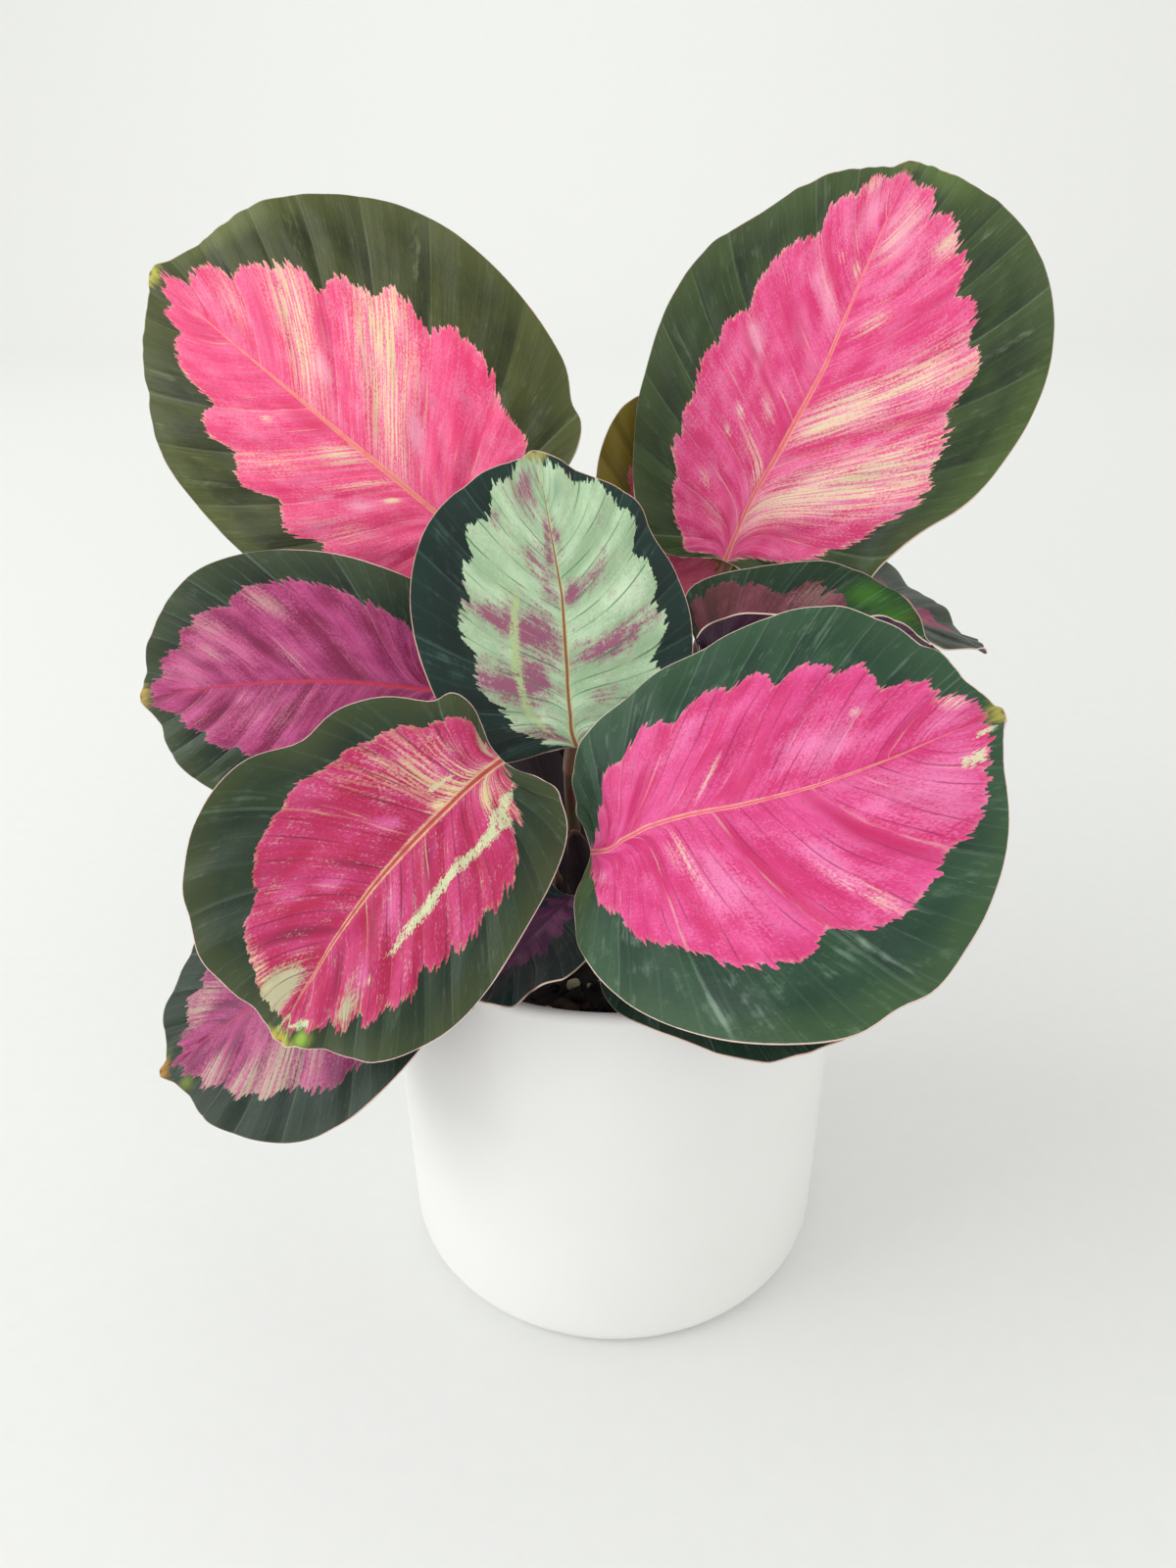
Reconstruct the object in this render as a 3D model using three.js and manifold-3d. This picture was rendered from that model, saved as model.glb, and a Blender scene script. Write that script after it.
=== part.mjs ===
// A potted calathea: a white glazed cachepot, a black plastic nursery pot standing in it,
// potting soil, and twelve leaves. Each leaf is a waved blade on a stalk that stands in a plain
// hole in the soil. Millimetres, +Z up; the origin is the middle of the cachepot's flat underside,
// and -Y is the side that the plant shows to the room.
import * as THREE from 'three';
import { mergeVertices } from 'three/addons/utils/BufferGeometryUtils.js';
import Module from 'manifold-3d';

const wasm = await Module();
wasm.setup();

// ---- driving dimensions -------------------------------------------------------------------

const GAP = 0.3; // air between neighbouring pieces

// The cachepot: radii at its foot and its rim, and its wall.
const POT = {
  height: 150, footRadius: 80, rimRadius: 82, wall: 5, floor: 6, footRound: 8, lipRound: 2.2, segments: 44,
};

// The nursery pot: a thin tapered pot with a collar round its mouth and drain holes in its floor.
const NURSERY = {
  rimHeight: 143, floorRadius: 56, mouthRadius: 73.8, wall: 1.3, collarRadius: 76.2, collarHeight: 9,
  drainHoles: 6, drainRadius: 5, drainCircle: 38, segments: 40,
};

// The soil: its level at the wall, a low mound in the middle, and the depth of the stalks' holes.
const SOIL = { level: 134, mound: 2.5, rough: 0.8, stalkDepth: 12, rings: 5, segments: 32 };

// Grains fused to the soil: pale perlite and flat bark, strewn by a seeded draw.
const PERLITE = { count: 30, radius: 1.5, spread: 0.9, seed: 41 };
const BARK = { count: 20, radius: 2.8, spread: 1.4, seed: 97 };
const GRAIN = { narrowest: 0.7, perliteHeight: 0.85, barkHeight: 0.45, proud: 0.15 }; // in its radius
const GRAIN_FIELD = 66; // no grain's middle is further out than this
const GRAIN_CLEARANCE = 7.5; // and none is nearer to a stalk
const FRONT_GRAINS = [[-14, -47, 2.6], [-14, -36, 2.2], [-9, -33, 1.6], [-5, -46, 1.5]]; // x, y, radius

// Every blade is cut from this pattern; lengths are shares of the blade's length. The tip is drawn
// out, and the width tapers, near the tip; tipTurn and taperTurn say how near, in radians of the
// outline's turn. A vein leaves the midrib at a slant of veinStart, and curlFrom is where on the
// way to the edge a curl begins.
const BLADE = {
  edgeThickness: 0.8, midThickness: 1.0, ribDepth: 1.1,
  lobe: 0.55, tip: 0.05, tipTurn: 0.16, taper: 0.3, taperTurn: 0.3, bluntness: 0.9,
  veinCrowding: 1.35, veinStart: 0.35, curlFrom: 0.6,
  waves: 3.6, waveHeight: 1.5,
  rows: 18, columns: [0.14, 0.45, 0.74, 1], sectionSteps: 14,
};

// Every stalk: a sheath at its foot, a slim stem, and a swollen joint under the blade, which swells
// from a little before its start to a little after. It leaves the soil with a lean, and bends over
// shares of its height near the soil and near the blade.
const STALK = {
  sheathRadius: 3.3, stemRadius: 1.9, jointRadius: 2.3, jointLength: 14, swellFrom: 0.02, swellTo: 0.04,
  sheathShare: 0.4, reach: 2.5, lean: 0.25, footShare: 0.45, headShare: 0.35, sides: 8, rings: 11,
};

// The leaves. base is where the blade meets its stalk; azimuth, rise and roll (degrees) aim the
// midrib and turn the blade about it; arch is the bend of the midrib along its length, sweep its
// sideways bow as a share of the length, twist the turn from base to tip. Each half has its width,
// egg (fuller to the tip when positive), crest (fuller in the middle when negative), and the
// slope of the blade beside the midrib (fold) and at the edge. curl rolls the outer part of a half
// up by an angle, at a place along the midrib and over a span; tip is a shorter tip than the
// pattern's. root is the stalk's place in the soil, lift the angle between stalk and midrib.
const LEAVES = [
  {
    name: 'back_left', base: [-44, 50, 254], azimuth: 153, rise: 32, roll: -68, length: 165, arch: 5,
    sweep: 0, twist: 0, phase: 0.4, root: [-9, 12], lift: 20,
    left: { width: 59, egg: -0.05, crest: 0, fold: 3, edge: 3 },
    right: { width: 74, egg: -0.08, crest: -0.08, fold: 6, edge: -5 },
  },
  {
    name: 'back_right', base: [43, 62, 247], azimuth: 33, rise: 61, roll: 38, length: 156, arch: 13,
    sweep: -0.01, twist: -18, phase: 2.1, root: [10, 14], lift: 20,
    left: { width: 54, egg: 0.2, crest: -0.2, fold: 5, edge: 1, tip: 0.02 },
    right: {
      width: 67, egg: 0.2, crest: -0.15, fold: 8, edge: 2, tip: 0.02,
      curl: { at: 0.05, span: 0.15, angle: 130 },
    },
  },
  {
    name: 'centre', base: [-12, -27, 214], azimuth: 99, rise: 57, roll: 8, length: 101, arch: 18,
    sweep: -0.01, twist: 0, phase: 1.2, root: [-4, -6], lift: 50,
    left: { width: 45, egg: -0.05, crest: -0.1, fold: 4, edge: 2 },
    right: { width: 40, egg: -0.05, crest: -0.05, fold: 6, edge: -2 },
  },
  {
    name: 'left', base: [-60, 25, 212], azimuth: 172, rise: -5, roll: -78, length: 120, arch: 13,
    sweep: -0.03, twist: 0, phase: 3.3, root: [-17, 4], lift: 20,
    left: { width: 48, egg: 0, crest: 0, fold: 5, edge: 3 },
    right: { width: 49, egg: 0, crest: 0, fold: 6, edge: 3 },
  },
  {
    name: 'front_left', base: [-34, -48, 220], azimuth: 223, rise: -14, roll: -19, length: 108, arch: 62,
    sweep: 0, twist: -6, phase: 5.0, root: [-16, -11], lift: 55,
    left: { width: 42, egg: 0.1, crest: -0.1, fold: -1, edge: -10 },
    right: { width: 47, egg: 0.25, crest: -0.1, fold: 18, edge: 16 },
  },
  {
    name: 'front_right', base: [-8, -63, 197], azimuth: -25, rise: 41, roll: 48, length: 120, arch: 47,
    sweep: -0.06, twist: 0, phase: 0.9, root: [8, -15], lift: 35,
    left: { width: 49, egg: 0.2, crest: -0.1, fold: -2, edge: 2 },
    right: { width: 61, egg: 0.2, crest: -0.2, fold: 20, edge: 7 },
  },
  {
    name: 'low_left', base: [-66, -39, 168], azimuth: 195, rise: -27, roll: -28, length: 103, arch: 16,
    sweep: 0.02, twist: 0, phase: 4.1, root: [-25, -4], lift: 50,
    left: { width: 46, egg: 0, crest: -0.15, fold: 5, edge: -6 },
    right: { width: 37, egg: 0, crest: -0.05, fold: 2, edge: 5 },
  },
  {
    name: 'folded_right', base: [29, 9, 230], azimuth: 6, rise: 0, roll: 13, length: 82, arch: 6,
    sweep: 0, twist: 0, phase: 2.7, root: [16, 3], lift: 35,
    left: { width: 34, egg: 0, crest: 0, fold: 39, edge: 31 },
    right: { width: 27, egg: 0, crest: 0, fold: 69, edge: 54 },
  },
  {
    name: 'far_right', base: [68, 79, 233], azimuth: 20, rise: -15, roll: 15, length: 99, arch: 13,
    sweep: 0, twist: -5, phase: 1.8, root: [21, 16], lift: 45,
    left: { width: 40, egg: 0, crest: 0, fold: 9, edge: 11 },
    right: { width: 39, egg: 0, crest: 0, fold: 11, edge: 7 },
  },
  {
    name: 'back_centre', base: [23, 79, 224], azimuth: 90, rise: 75, roll: 0, length: 83, arch: 11,
    sweep: 0, twist: 0, phase: 3.9, root: [2, 23], lift: 15,
    left: { width: 28, egg: 0, crest: 0, fold: 6, edge: 4 },
    right: { width: 34, egg: 0, crest: 0, fold: 6, edge: 4 },
  },
  {
    name: 'low_right', base: [7, -54, 161], azimuth: -34, rise: 9, roll: 23, length: 77, arch: 13,
    sweep: 0, twist: 0, phase: 0.2, root: [14, -24], lift: 45,
    left: { width: 30, egg: 0, crest: 0, fold: 6, edge: 4 },
    right: { width: 33, egg: 0, crest: 0, fold: 6, edge: 2 },
  },
  {
    name: 'low_front', base: [-14, -37, 165], azimuth: 239, rise: 1, roll: 6, length: 58, arch: 12,
    sweep: 0, twist: 0, phase: 5.6, root: [-9, -22], lift: 60,
    left: { width: 23, egg: 0, crest: 0, fold: 5, edge: 3 },
    right: { width: 20, egg: 0, crest: 0, fold: 6, edge: 4 },
  },
];

// ---- small tools --------------------------------------------------------------------------

const radians = THREE.MathUtils.degToRad;
const lerp = THREE.MathUtils.lerp;
const smoothstep = THREE.MathUtils.smoothstep;

// A repeatable draw between 0 and 1.
function seededRandom(seed) {
  let state = seed;
  return () => {
    state = (state * 16807) % 2147483647;
    return state / 2147483647;
  };
}

function meshFrom(points, triangles) {
  const geometry = new THREE.BufferGeometry();
  geometry.setAttribute('position', new THREE.Float32BufferAttribute(points.flatMap((p) => p.toArray()), 3));
  geometry.setIndex(triangles.flat());
  return geometry;
}

function toSolid(geometry) {
  const bare = geometry.clone();
  bare.deleteAttribute('normal');
  bare.deleteAttribute('uv');
  const merged = mergeVertices(bare, 1e-4);
  const mesh = new wasm.Mesh({
    numProp: 3,
    vertProperties: new Float32Array(merged.attributes.position.array),
    triVerts: new Uint32Array(merged.index.array),
  });
  return new wasm.Manifold(mesh);
}

function fromSolid(solid) {
  const mesh = solid.getMesh();
  const geometry = new THREE.BufferGeometry();
  geometry.setAttribute('position', new THREE.BufferAttribute(mesh.vertProperties, 3));
  geometry.setIndex(new THREE.BufferAttribute(mesh.triVerts, 1));
  return geometry;
}

// The largest of a solid's bodies: crumbs that a cut leaves loose are dropped.
function largestBody(solid) {
  const bodies = solid.decompose();
  return bodies.reduce((best, body) => (body.volume() > best.volume() ? body : best));
}

// A quarter round between two directions about a centre, as profile points.
function roundCorner(centreX, centreY, radius, from, to, steps) {
  const points = [];
  for (let i = 0; i <= steps; i += 1) {
    const angle = radians(lerp(from, to, i / steps));
    points.push(new THREE.Vector2(centreX + radius * Math.cos(angle), centreY + radius * Math.sin(angle)));
  }
  return points;
}

// A profile turned about the Z axis.
function turn(profile, segments) {
  return new THREE.LatheGeometry(profile, segments).rotateX(Math.PI / 2);
}

// A closed round bar along a curve, with its own radius at each share of the way.
function sweepRound(curve, radiusAt, sides, rings) {
  const frames = curve.computeFrenetFrames(rings, false);
  const points = [];
  const triangles = [];
  for (let i = 0; i <= rings; i += 1) {
    const centre = curve.getPointAt(i / rings);
    const radius = radiusAt(i / rings);
    for (let j = 0; j < sides; j += 1) {
      const angle = (2 * Math.PI * j) / sides;
      const point = centre.clone();
      point.addScaledVector(frames.normals[i], radius * Math.cos(angle));
      point.addScaledVector(frames.binormals[i], radius * Math.sin(angle));
      points.push(point);
    }
  }
  for (let i = 0; i < rings; i += 1) {
    for (let j = 0; j < sides; j += 1) {
      const a = i * sides + j;
      const b = i * sides + ((j + 1) % sides);
      triangles.push([a, b, b + sides], [a, b + sides, a + sides]);
    }
  }
  const last = rings * sides;
  for (let j = 1; j < sides - 1; j += 1) {
    triangles.push([0, j + 1, j], [last, last + j, last + j + 1]);
  }
  return meshFrom(points, triangles);
}

// ---- the pots -----------------------------------------------------------------------------

function cachepot() {
  const { height, footRadius, rimRadius, wall, floor, footRound, lipRound } = POT;
  const innerFoot = footRadius - wall;
  const innerRim = rimRadius - wall;
  const profile = [
    new THREE.Vector2(0, 0),
    ...roundCorner(footRadius - footRound, footRound, footRound, -90, 0, 4),
    ...roundCorner(rimRadius - lipRound, height - lipRound, lipRound, 0, 90, 3),
    ...roundCorner(innerRim + lipRound, height - lipRound, lipRound, 90, 180, 3),
    ...roundCorner(innerFoot - footRound, floor + footRound, footRound, 0, -90, 3),
    new THREE.Vector2(0, floor),
  ];
  return turn(profile, POT.segments);
}

const NURSERY_FLOOR = POT.floor + GAP;
const SOIL_FLOOR = NURSERY_FLOOR + NURSERY.wall;

// The nursery pot's inner radius at a height.
function nurseryInside(z) {
  const share = (z - SOIL_FLOOR) / (NURSERY.rimHeight - SOIL_FLOOR);
  return lerp(NURSERY.floorRadius - NURSERY.wall, NURSERY.mouthRadius, share);
}

function nurseryPot() {
  const { rimHeight, floorRadius, mouthRadius, wall, collarRadius, collarHeight, segments } = NURSERY;
  const collarFoot = rimHeight - collarHeight;
  const shell = turn([
    new THREE.Vector2(0, NURSERY_FLOOR),
    new THREE.Vector2(floorRadius, NURSERY_FLOOR),
    new THREE.Vector2(nurseryInside(collarFoot) + wall, collarFoot),
    new THREE.Vector2(collarRadius, collarFoot + 1),
    new THREE.Vector2(collarRadius, rimHeight - 0.6),
    new THREE.Vector2(collarRadius - 0.6, rimHeight),
    new THREE.Vector2(mouthRadius, rimHeight),
    new THREE.Vector2(floorRadius - wall, SOIL_FLOOR),
    new THREE.Vector2(0, SOIL_FLOOR),
  ], segments);
  let solid = toSolid(shell);
  for (let i = 0; i < NURSERY.drainHoles; i += 1) {
    const angle = (2 * Math.PI * i) / NURSERY.drainHoles;
    const drill = new THREE.CylinderGeometry(NURSERY.drainRadius, NURSERY.drainRadius, 4 * wall, 12);
    drill.rotateX(Math.PI / 2);
    drill.translate(
      NURSERY.drainCircle * Math.cos(angle),
      NURSERY.drainCircle * Math.sin(angle),
      NURSERY_FLOOR + wall / 2,
    );
    solid = solid.subtract(toSolid(drill));
  }
  return fromSolid(solid);
}

// ---- the blades ---------------------------------------------------------------------------

// The blade's directions at its base: along the midrib, to its left, and out of its upper face.
function bladeAxes(leaf) {
  const azimuth = radians(leaf.azimuth);
  const rise = radians(leaf.rise);
  const roll = radians(leaf.roll);
  const along = new THREE.Vector3(
    Math.cos(rise) * Math.cos(azimuth),
    Math.cos(rise) * Math.sin(azimuth),
    Math.sin(rise),
  );
  const level = new THREE.Vector3(-Math.sin(azimuth), Math.cos(azimuth), 0);
  const up = along.clone().cross(level);
  const left = level.clone().multiplyScalar(Math.cos(roll)).addScaledVector(up, Math.sin(roll));
  const face = up.clone().multiplyScalar(Math.cos(roll)).addScaledVector(level, -Math.sin(roll));
  return { along, left, face };
}

// The edge of one half of the flat pattern; turn runs from 0 at the tip to 1 at the base.
function patternEdge(half, length, turnShare) {
  const phi = Math.PI * turnShare;
  const back = (1 - Math.cos(phi)) / 2;
  const lobe = BLADE.lobe * Math.sin(phi) ** 2 * back ** 4;
  const tip = (half.tip ?? BLADE.tip) * Math.exp(-((phi / BLADE.tipTurn) ** 2));
  const taper = 1 - BLADE.taper * Math.exp(-((phi / BLADE.taperTurn) ** 2));
  const shape = 1 + half.egg * Math.cos(phi) + half.crest * Math.cos(2 * phi);
  return {
    x: length * ((1 + Math.cos(phi)) / 2 - lobe + tip),
    y: half.width * Math.max(Math.sin(phi), 0) ** BLADE.bluntness * shape * taper,
  };
}

// A place on the flat pattern: along is 0 at the base and 1 at the tip, across 0 at the midrib
// and 1 at the edge, and lines of equal along run the way that the side veins do.
function patternPoint(half, length, along, across) {
  const edge = patternEdge(half, length, (1 - along) ** BLADE.veinCrowding);
  const middle = length * along;
  const run = BLADE.veinStart * across + (1 - BLADE.veinStart) * across * across;
  return { x: middle + (edge.x - middle) * run, y: edge.y * across };
}

// How far a half reaches out and up at a distance from the midrib, and its slope there.
function crossSection(half, distance, curlAngle) {
  const steps = BLADE.sectionSteps;
  const slopeAt = (share) => radians(
    lerp(half.fold, half.edge, share) + curlAngle * smoothstep(share, BLADE.curlFrom, 1),
  );
  let out = 0;
  let up = 0;
  for (let i = 0; i < steps; i += 1) {
    const slope = slopeAt((((i + 0.5) / steps) * distance) / half.width);
    out += (Math.cos(slope) * distance) / steps;
    up += (Math.sin(slope) * distance) / steps;
  }
  return { out, up, slope: distance > 0 ? slopeAt(distance / half.width) : 0 };
}

// The blade's upper face in space, and the direction out of it; across is negative to the right.
function bladePoint(leaf, axes, along, across) {
  const half = across < 0 ? leaf.right : leaf.left;
  const side = across < 0 ? -1 : 1;
  const flat = patternPoint(half, leaf.length, along, Math.abs(across));
  const share = flat.x / leaf.length;
  const arch = radians(leaf.arch);
  const bend = arch * share;
  const radius = leaf.length / arch;
  const point = new THREE.Vector3(...leaf.base);
  point.addScaledVector(axes.along, radius * Math.sin(bend));
  point.addScaledVector(axes.face, -radius * (1 - Math.cos(bend)));
  point.addScaledVector(axes.left, 4 * leaf.sweep * leaf.length * share * (1 - share));

  const bentFace = axes.face.clone().multiplyScalar(Math.cos(bend));
  bentFace.addScaledVector(axes.along, Math.sin(bend));
  const twist = radians(leaf.twist) * share;
  const left = axes.left.clone().multiplyScalar(Math.cos(twist)).addScaledVector(bentFace, Math.sin(twist));
  const face = bentFace.clone().multiplyScalar(Math.cos(twist)).addScaledVector(axes.left, -Math.sin(twist));

  const curl = half.curl ? half.curl.angle * Math.exp(-(((share - half.curl.at) / half.curl.span) ** 2)) : 0;
  const section = crossSection(half, flat.y, curl);
  point.addScaledVector(left, side * section.out);
  point.addScaledVector(face, section.up);
  const normal = face.clone().multiplyScalar(Math.cos(section.slope));
  normal.addScaledVector(left, -side * Math.sin(section.slope));

  const wave = Math.sin(2 * Math.PI * BLADE.waves * along + leaf.phase + side);
  point.addScaledVector(normal, BLADE.waveHeight * wave * Math.abs(across) ** 3);
  return { point, normal };
}

// A blade: two alike grids of triangles, one on each face, closed round the edge.
function blade(leaf) {
  const { rows, columns, edgeThickness, midThickness, ribDepth } = BLADE;
  const axes = bladeAxes(leaf);
  const acrosses = [...columns.map((c) => -c).reverse(), 0, ...columns];
  const upper = [];
  const lower = [];
  const addPair = (along, across) => {
    const { point, normal } = bladePoint(leaf, axes, along, across);
    const rib = across === 0 ? ribDepth * (1 - along) : 0;
    const thickness = lerp(midThickness, edgeThickness, Math.abs(across)) + rib;
    upper.push(point);
    lower.push(point.clone().addScaledVector(normal, -thickness));
  };
  addPair(0, 0);
  for (let i = 1; i < rows; i += 1) {
    acrosses.forEach((across) => addPair(i / rows, across));
  }
  addPair(1, 0);

  const count = upper.length;
  const width = acrosses.length;
  const at = (i, j) => 1 + (i - 1) * width + j;
  const faces = [];
  for (let j = 0; j < width - 1; j += 1) {
    faces.push([0, at(1, j), at(1, j + 1)]);
    faces.push([at(rows - 1, j), count - 1, at(rows - 1, j + 1)]);
    for (let i = 1; i < rows - 1; i += 1) {
      faces.push([at(i, j), at(i + 1, j), at(i + 1, j + 1)]);
      faces.push([at(i, j), at(i + 1, j + 1), at(i, j + 1)]);
    }
  }
  const triangles = [...faces, ...faces.map(([a, b, c]) => [a + count, c + count, b + count])];
  const edgeOf = (j) => [0, ...Array.from({ length: rows - 1 }, (_, i) => at(i + 1, j)), count - 1];
  const leftEdge = edgeOf(width - 1);
  const rightEdge = edgeOf(0);
  for (let i = 0; i < rows; i += 1) {
    const [a, b] = [leftEdge[i], leftEdge[i + 1]];
    const [c, d] = [rightEdge[i], rightEdge[i + 1]];
    triangles.push([a, b, b + count], [a, b + count, a + count]);
    triangles.push([c, d + count, d], [c, c + count, d + count]);
  }
  return meshFrom([...upper, ...lower], triangles);
}

// ---- the stalks ---------------------------------------------------------------------------

// A stalk's middle line, from a depth in the soil up to just under its blade.
function stalkCurve(leaf, depth) {
  const axes = bladeAxes(leaf);
  const lift = radians(leaf.lift);
  const arrive = axes.along.clone().multiplyScalar(Math.cos(lift)).addScaledVector(axes.face, Math.sin(lift));
  const below = BLADE.midThickness + BLADE.ribDepth + GAP + STALK.jointRadius * Math.cos(lift);
  const end = new THREE.Vector3(...leaf.base);
  end.addScaledVector(axes.along, STALK.reach);
  end.addScaledVector(axes.face, -below);
  const start = new THREE.Vector3(leaf.root[0], leaf.root[1], SOIL.level - depth);
  const distance = start.distanceTo(end);
  const leave = new THREE.Vector3(end.x - start.x, end.y - start.y, 0).setLength(STALK.lean);
  leave.z = 1;
  leave.normalize();
  return new THREE.CubicBezierCurve3(
    start,
    start.clone().addScaledVector(leave, STALK.footShare * distance),
    end.clone().addScaledVector(arrive, -STALK.headShare * distance),
    end,
  );
}

// A stalk, or with room to spare the tool that cuts its hole.
function stalk(leaf, room = 0) {
  const curve = stalkCurve(leaf, SOIL.stalkDepth + room);
  const jointShare = 1 - STALK.jointLength / curve.getLength();
  const radiusAt = (share) => {
    const stem = lerp(STALK.sheathRadius, STALK.stemRadius, smoothstep(share, 0, STALK.sheathShare));
    const joint = smoothstep(share, jointShare - STALK.swellFrom, jointShare + STALK.swellTo);
    return lerp(stem, STALK.jointRadius, joint) + room;
  };
  return sweepRound(curve, radiusAt, STALK.sides, STALK.rings);
}

// ---- the soil -----------------------------------------------------------------------------

function soilHeight(x, y) {
  const share = Math.hypot(x, y) / nurseryInside(SOIL.level);
  const lumps = Math.sin(0.23 * x + 1.3) * Math.cos(0.19 * y - 0.4) + 0.5 * Math.sin(0.41 * x - 0.37 * y);
  return SOIL.level + SOIL.mound * (1 - share * share) + SOIL.rough * lumps;
}

// The soil's body: a rough top on a tapered plug that fills the nursery pot.
function soilBody() {
  const { rings, segments } = SOIL;
  const points = [new THREE.Vector3(0, 0, soilHeight(0, 0))];
  const triangles = [];
  for (let i = 1; i <= rings; i += 1) {
    for (let j = 0; j < segments; j += 1) {
      const angle = (2 * Math.PI * j) / segments;
      const radius = ((nurseryInside(SOIL.level) - GAP) * i) / rings;
      const x = radius * Math.cos(angle);
      const y = radius * Math.sin(angle);
      points.push(new THREE.Vector3(x, y, i === rings ? SOIL.level : soilHeight(x, y)));
    }
  }
  for (let j = 0; j < segments; j += 1) {
    const angle = (2 * Math.PI * j) / segments;
    const radius = NURSERY.floorRadius - NURSERY.wall - GAP;
    points.push(new THREE.Vector3(radius * Math.cos(angle), radius * Math.sin(angle), SOIL_FLOOR + GAP));
  }
  points.push(new THREE.Vector3(0, 0, SOIL_FLOOR + GAP));
  const at = (ring, j) => 1 + ring * segments + (j % segments);
  const bottomMiddle = points.length - 1;
  for (let j = 0; j < segments; j += 1) {
    triangles.push([0, at(0, j), at(0, j + 1)]);
    for (let i = 0; i < rings; i += 1) {
      triangles.push([at(i, j), at(i + 1, j), at(i + 1, j + 1)]);
      triangles.push([at(i, j), at(i + 1, j + 1), at(i, j + 1)]);
    }
    triangles.push([at(rings, j), bottomMiddle, at(rings, j + 1)]);
  }
  return meshFrom(points, triangles);
}

// One grain, sunk about half its height into the soil: perlite is roundish, bark a flat chip.
function grain(x, y, radius, isBark, random) {
  const geometry = isBark ? new THREE.OctahedronGeometry(radius) : new THREE.IcosahedronGeometry(radius);
  const height = isBark ? GRAIN.barkHeight : GRAIN.perliteHeight;
  geometry.scale(1, lerp(GRAIN.narrowest, 1, random()), height);
  geometry.rotateZ(2 * Math.PI * random());
  geometry.translate(x, y, soilHeight(x, y) + GRAIN.proud * radius);
  return geometry;
}

function strewGrains({ count, radius, spread, seed }, isBark) {
  const random = seededRandom(seed);
  const grains = [];
  while (grains.length < count) {
    const angle = 2 * Math.PI * random();
    const distance = GRAIN_FIELD * Math.sqrt(random());
    const x = distance * Math.cos(angle);
    const y = distance * Math.sin(angle);
    const clear = LEAVES.every(({ root }) => Math.hypot(x - root[0], y - root[1]) > GRAIN_CLEARANCE);
    if (clear) {
      grains.push(grain(x, y, radius + spread * random(), isBark, random));
    }
  }
  return grains;
}

function soil() {
  const random = seededRandom(PERLITE.seed + 1);
  const grains = [
    ...FRONT_GRAINS.map(([x, y, radius]) => grain(x, y, radius, false, random)),
    ...strewGrains(PERLITE, false),
    ...strewGrains(BARK, true),
  ];
  let solid = toSolid(soilBody());
  grains.forEach((geometry) => {
    solid = solid.add(toSolid(geometry));
  });
  LEAVES.forEach((leaf) => {
    solid = solid.subtract(toSolid(stalk(leaf, GAP)));
  });
  return fromSolid(largestBody(solid));
}

// ---- the assembly -------------------------------------------------------------------------

const glazedWhite = new THREE.MeshStandardMaterial({ color: '#eeebe5', roughness: 0.35, metalness: 0 });
const blackPlastic = new THREE.MeshStandardMaterial({ color: '#17181a', roughness: 0.55, metalness: 0 });
const darkSoil = new THREE.MeshStandardMaterial({ color: '#1f1913', roughness: 0.95, metalness: 0 });
const leafGreen = new THREE.MeshStandardMaterial({ color: '#2f5b45', roughness: 0.45, metalness: 0 });
const stalkGreen = new THREE.MeshStandardMaterial({ color: '#6d5a33', roughness: 0.55, metalness: 0 });

const plant = new THREE.Group();

function addPiece(name, geometry, material) {
  const mesh = new THREE.Mesh(geometry, material.clone());
  mesh.name = name;
  plant.add(mesh);
}

addPiece('cachepot', cachepot(), glazedWhite);
addPiece('nursery_pot', nurseryPot(), blackPlastic);
addPiece('soil', soil(), darkSoil);
LEAVES.forEach((leaf) => {
  addPiece(`stalk_${leaf.name}`, stalk(leaf), stalkGreen);
  addPiece(`blade_${leaf.name}`, blade(leaf), leafGreen);
});

export default plant;
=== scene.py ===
import bpy
import math
import numpy as np
from mathutils import Matrix, Vector, noise


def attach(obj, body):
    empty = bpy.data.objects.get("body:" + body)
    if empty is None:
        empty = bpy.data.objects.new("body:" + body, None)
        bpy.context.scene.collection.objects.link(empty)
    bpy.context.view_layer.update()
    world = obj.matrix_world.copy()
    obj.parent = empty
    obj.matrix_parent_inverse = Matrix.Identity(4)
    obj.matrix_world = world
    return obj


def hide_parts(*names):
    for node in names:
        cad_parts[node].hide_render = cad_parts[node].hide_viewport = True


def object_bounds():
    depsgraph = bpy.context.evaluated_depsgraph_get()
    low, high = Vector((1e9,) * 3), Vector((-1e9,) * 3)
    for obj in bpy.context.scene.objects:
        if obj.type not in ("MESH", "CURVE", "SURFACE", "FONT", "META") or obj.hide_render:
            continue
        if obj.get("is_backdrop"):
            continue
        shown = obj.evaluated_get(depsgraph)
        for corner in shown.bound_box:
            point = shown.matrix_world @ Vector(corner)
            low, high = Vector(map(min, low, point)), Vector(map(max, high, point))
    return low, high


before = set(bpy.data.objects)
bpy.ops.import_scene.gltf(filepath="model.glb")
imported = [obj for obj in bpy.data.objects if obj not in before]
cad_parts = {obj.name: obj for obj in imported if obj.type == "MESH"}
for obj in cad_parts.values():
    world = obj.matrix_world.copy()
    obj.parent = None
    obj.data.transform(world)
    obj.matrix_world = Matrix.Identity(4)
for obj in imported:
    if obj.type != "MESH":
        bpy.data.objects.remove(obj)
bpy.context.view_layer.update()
MM = 0.001  # sizes below are in millimetres


# ---- the camera ----------------------------------------------------------------------------
# A phone held at arm's length in front of the plant and above it, looking down at the leaves.
# Its place and lens were worked out from the pot's two rims in the photograph.

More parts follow.
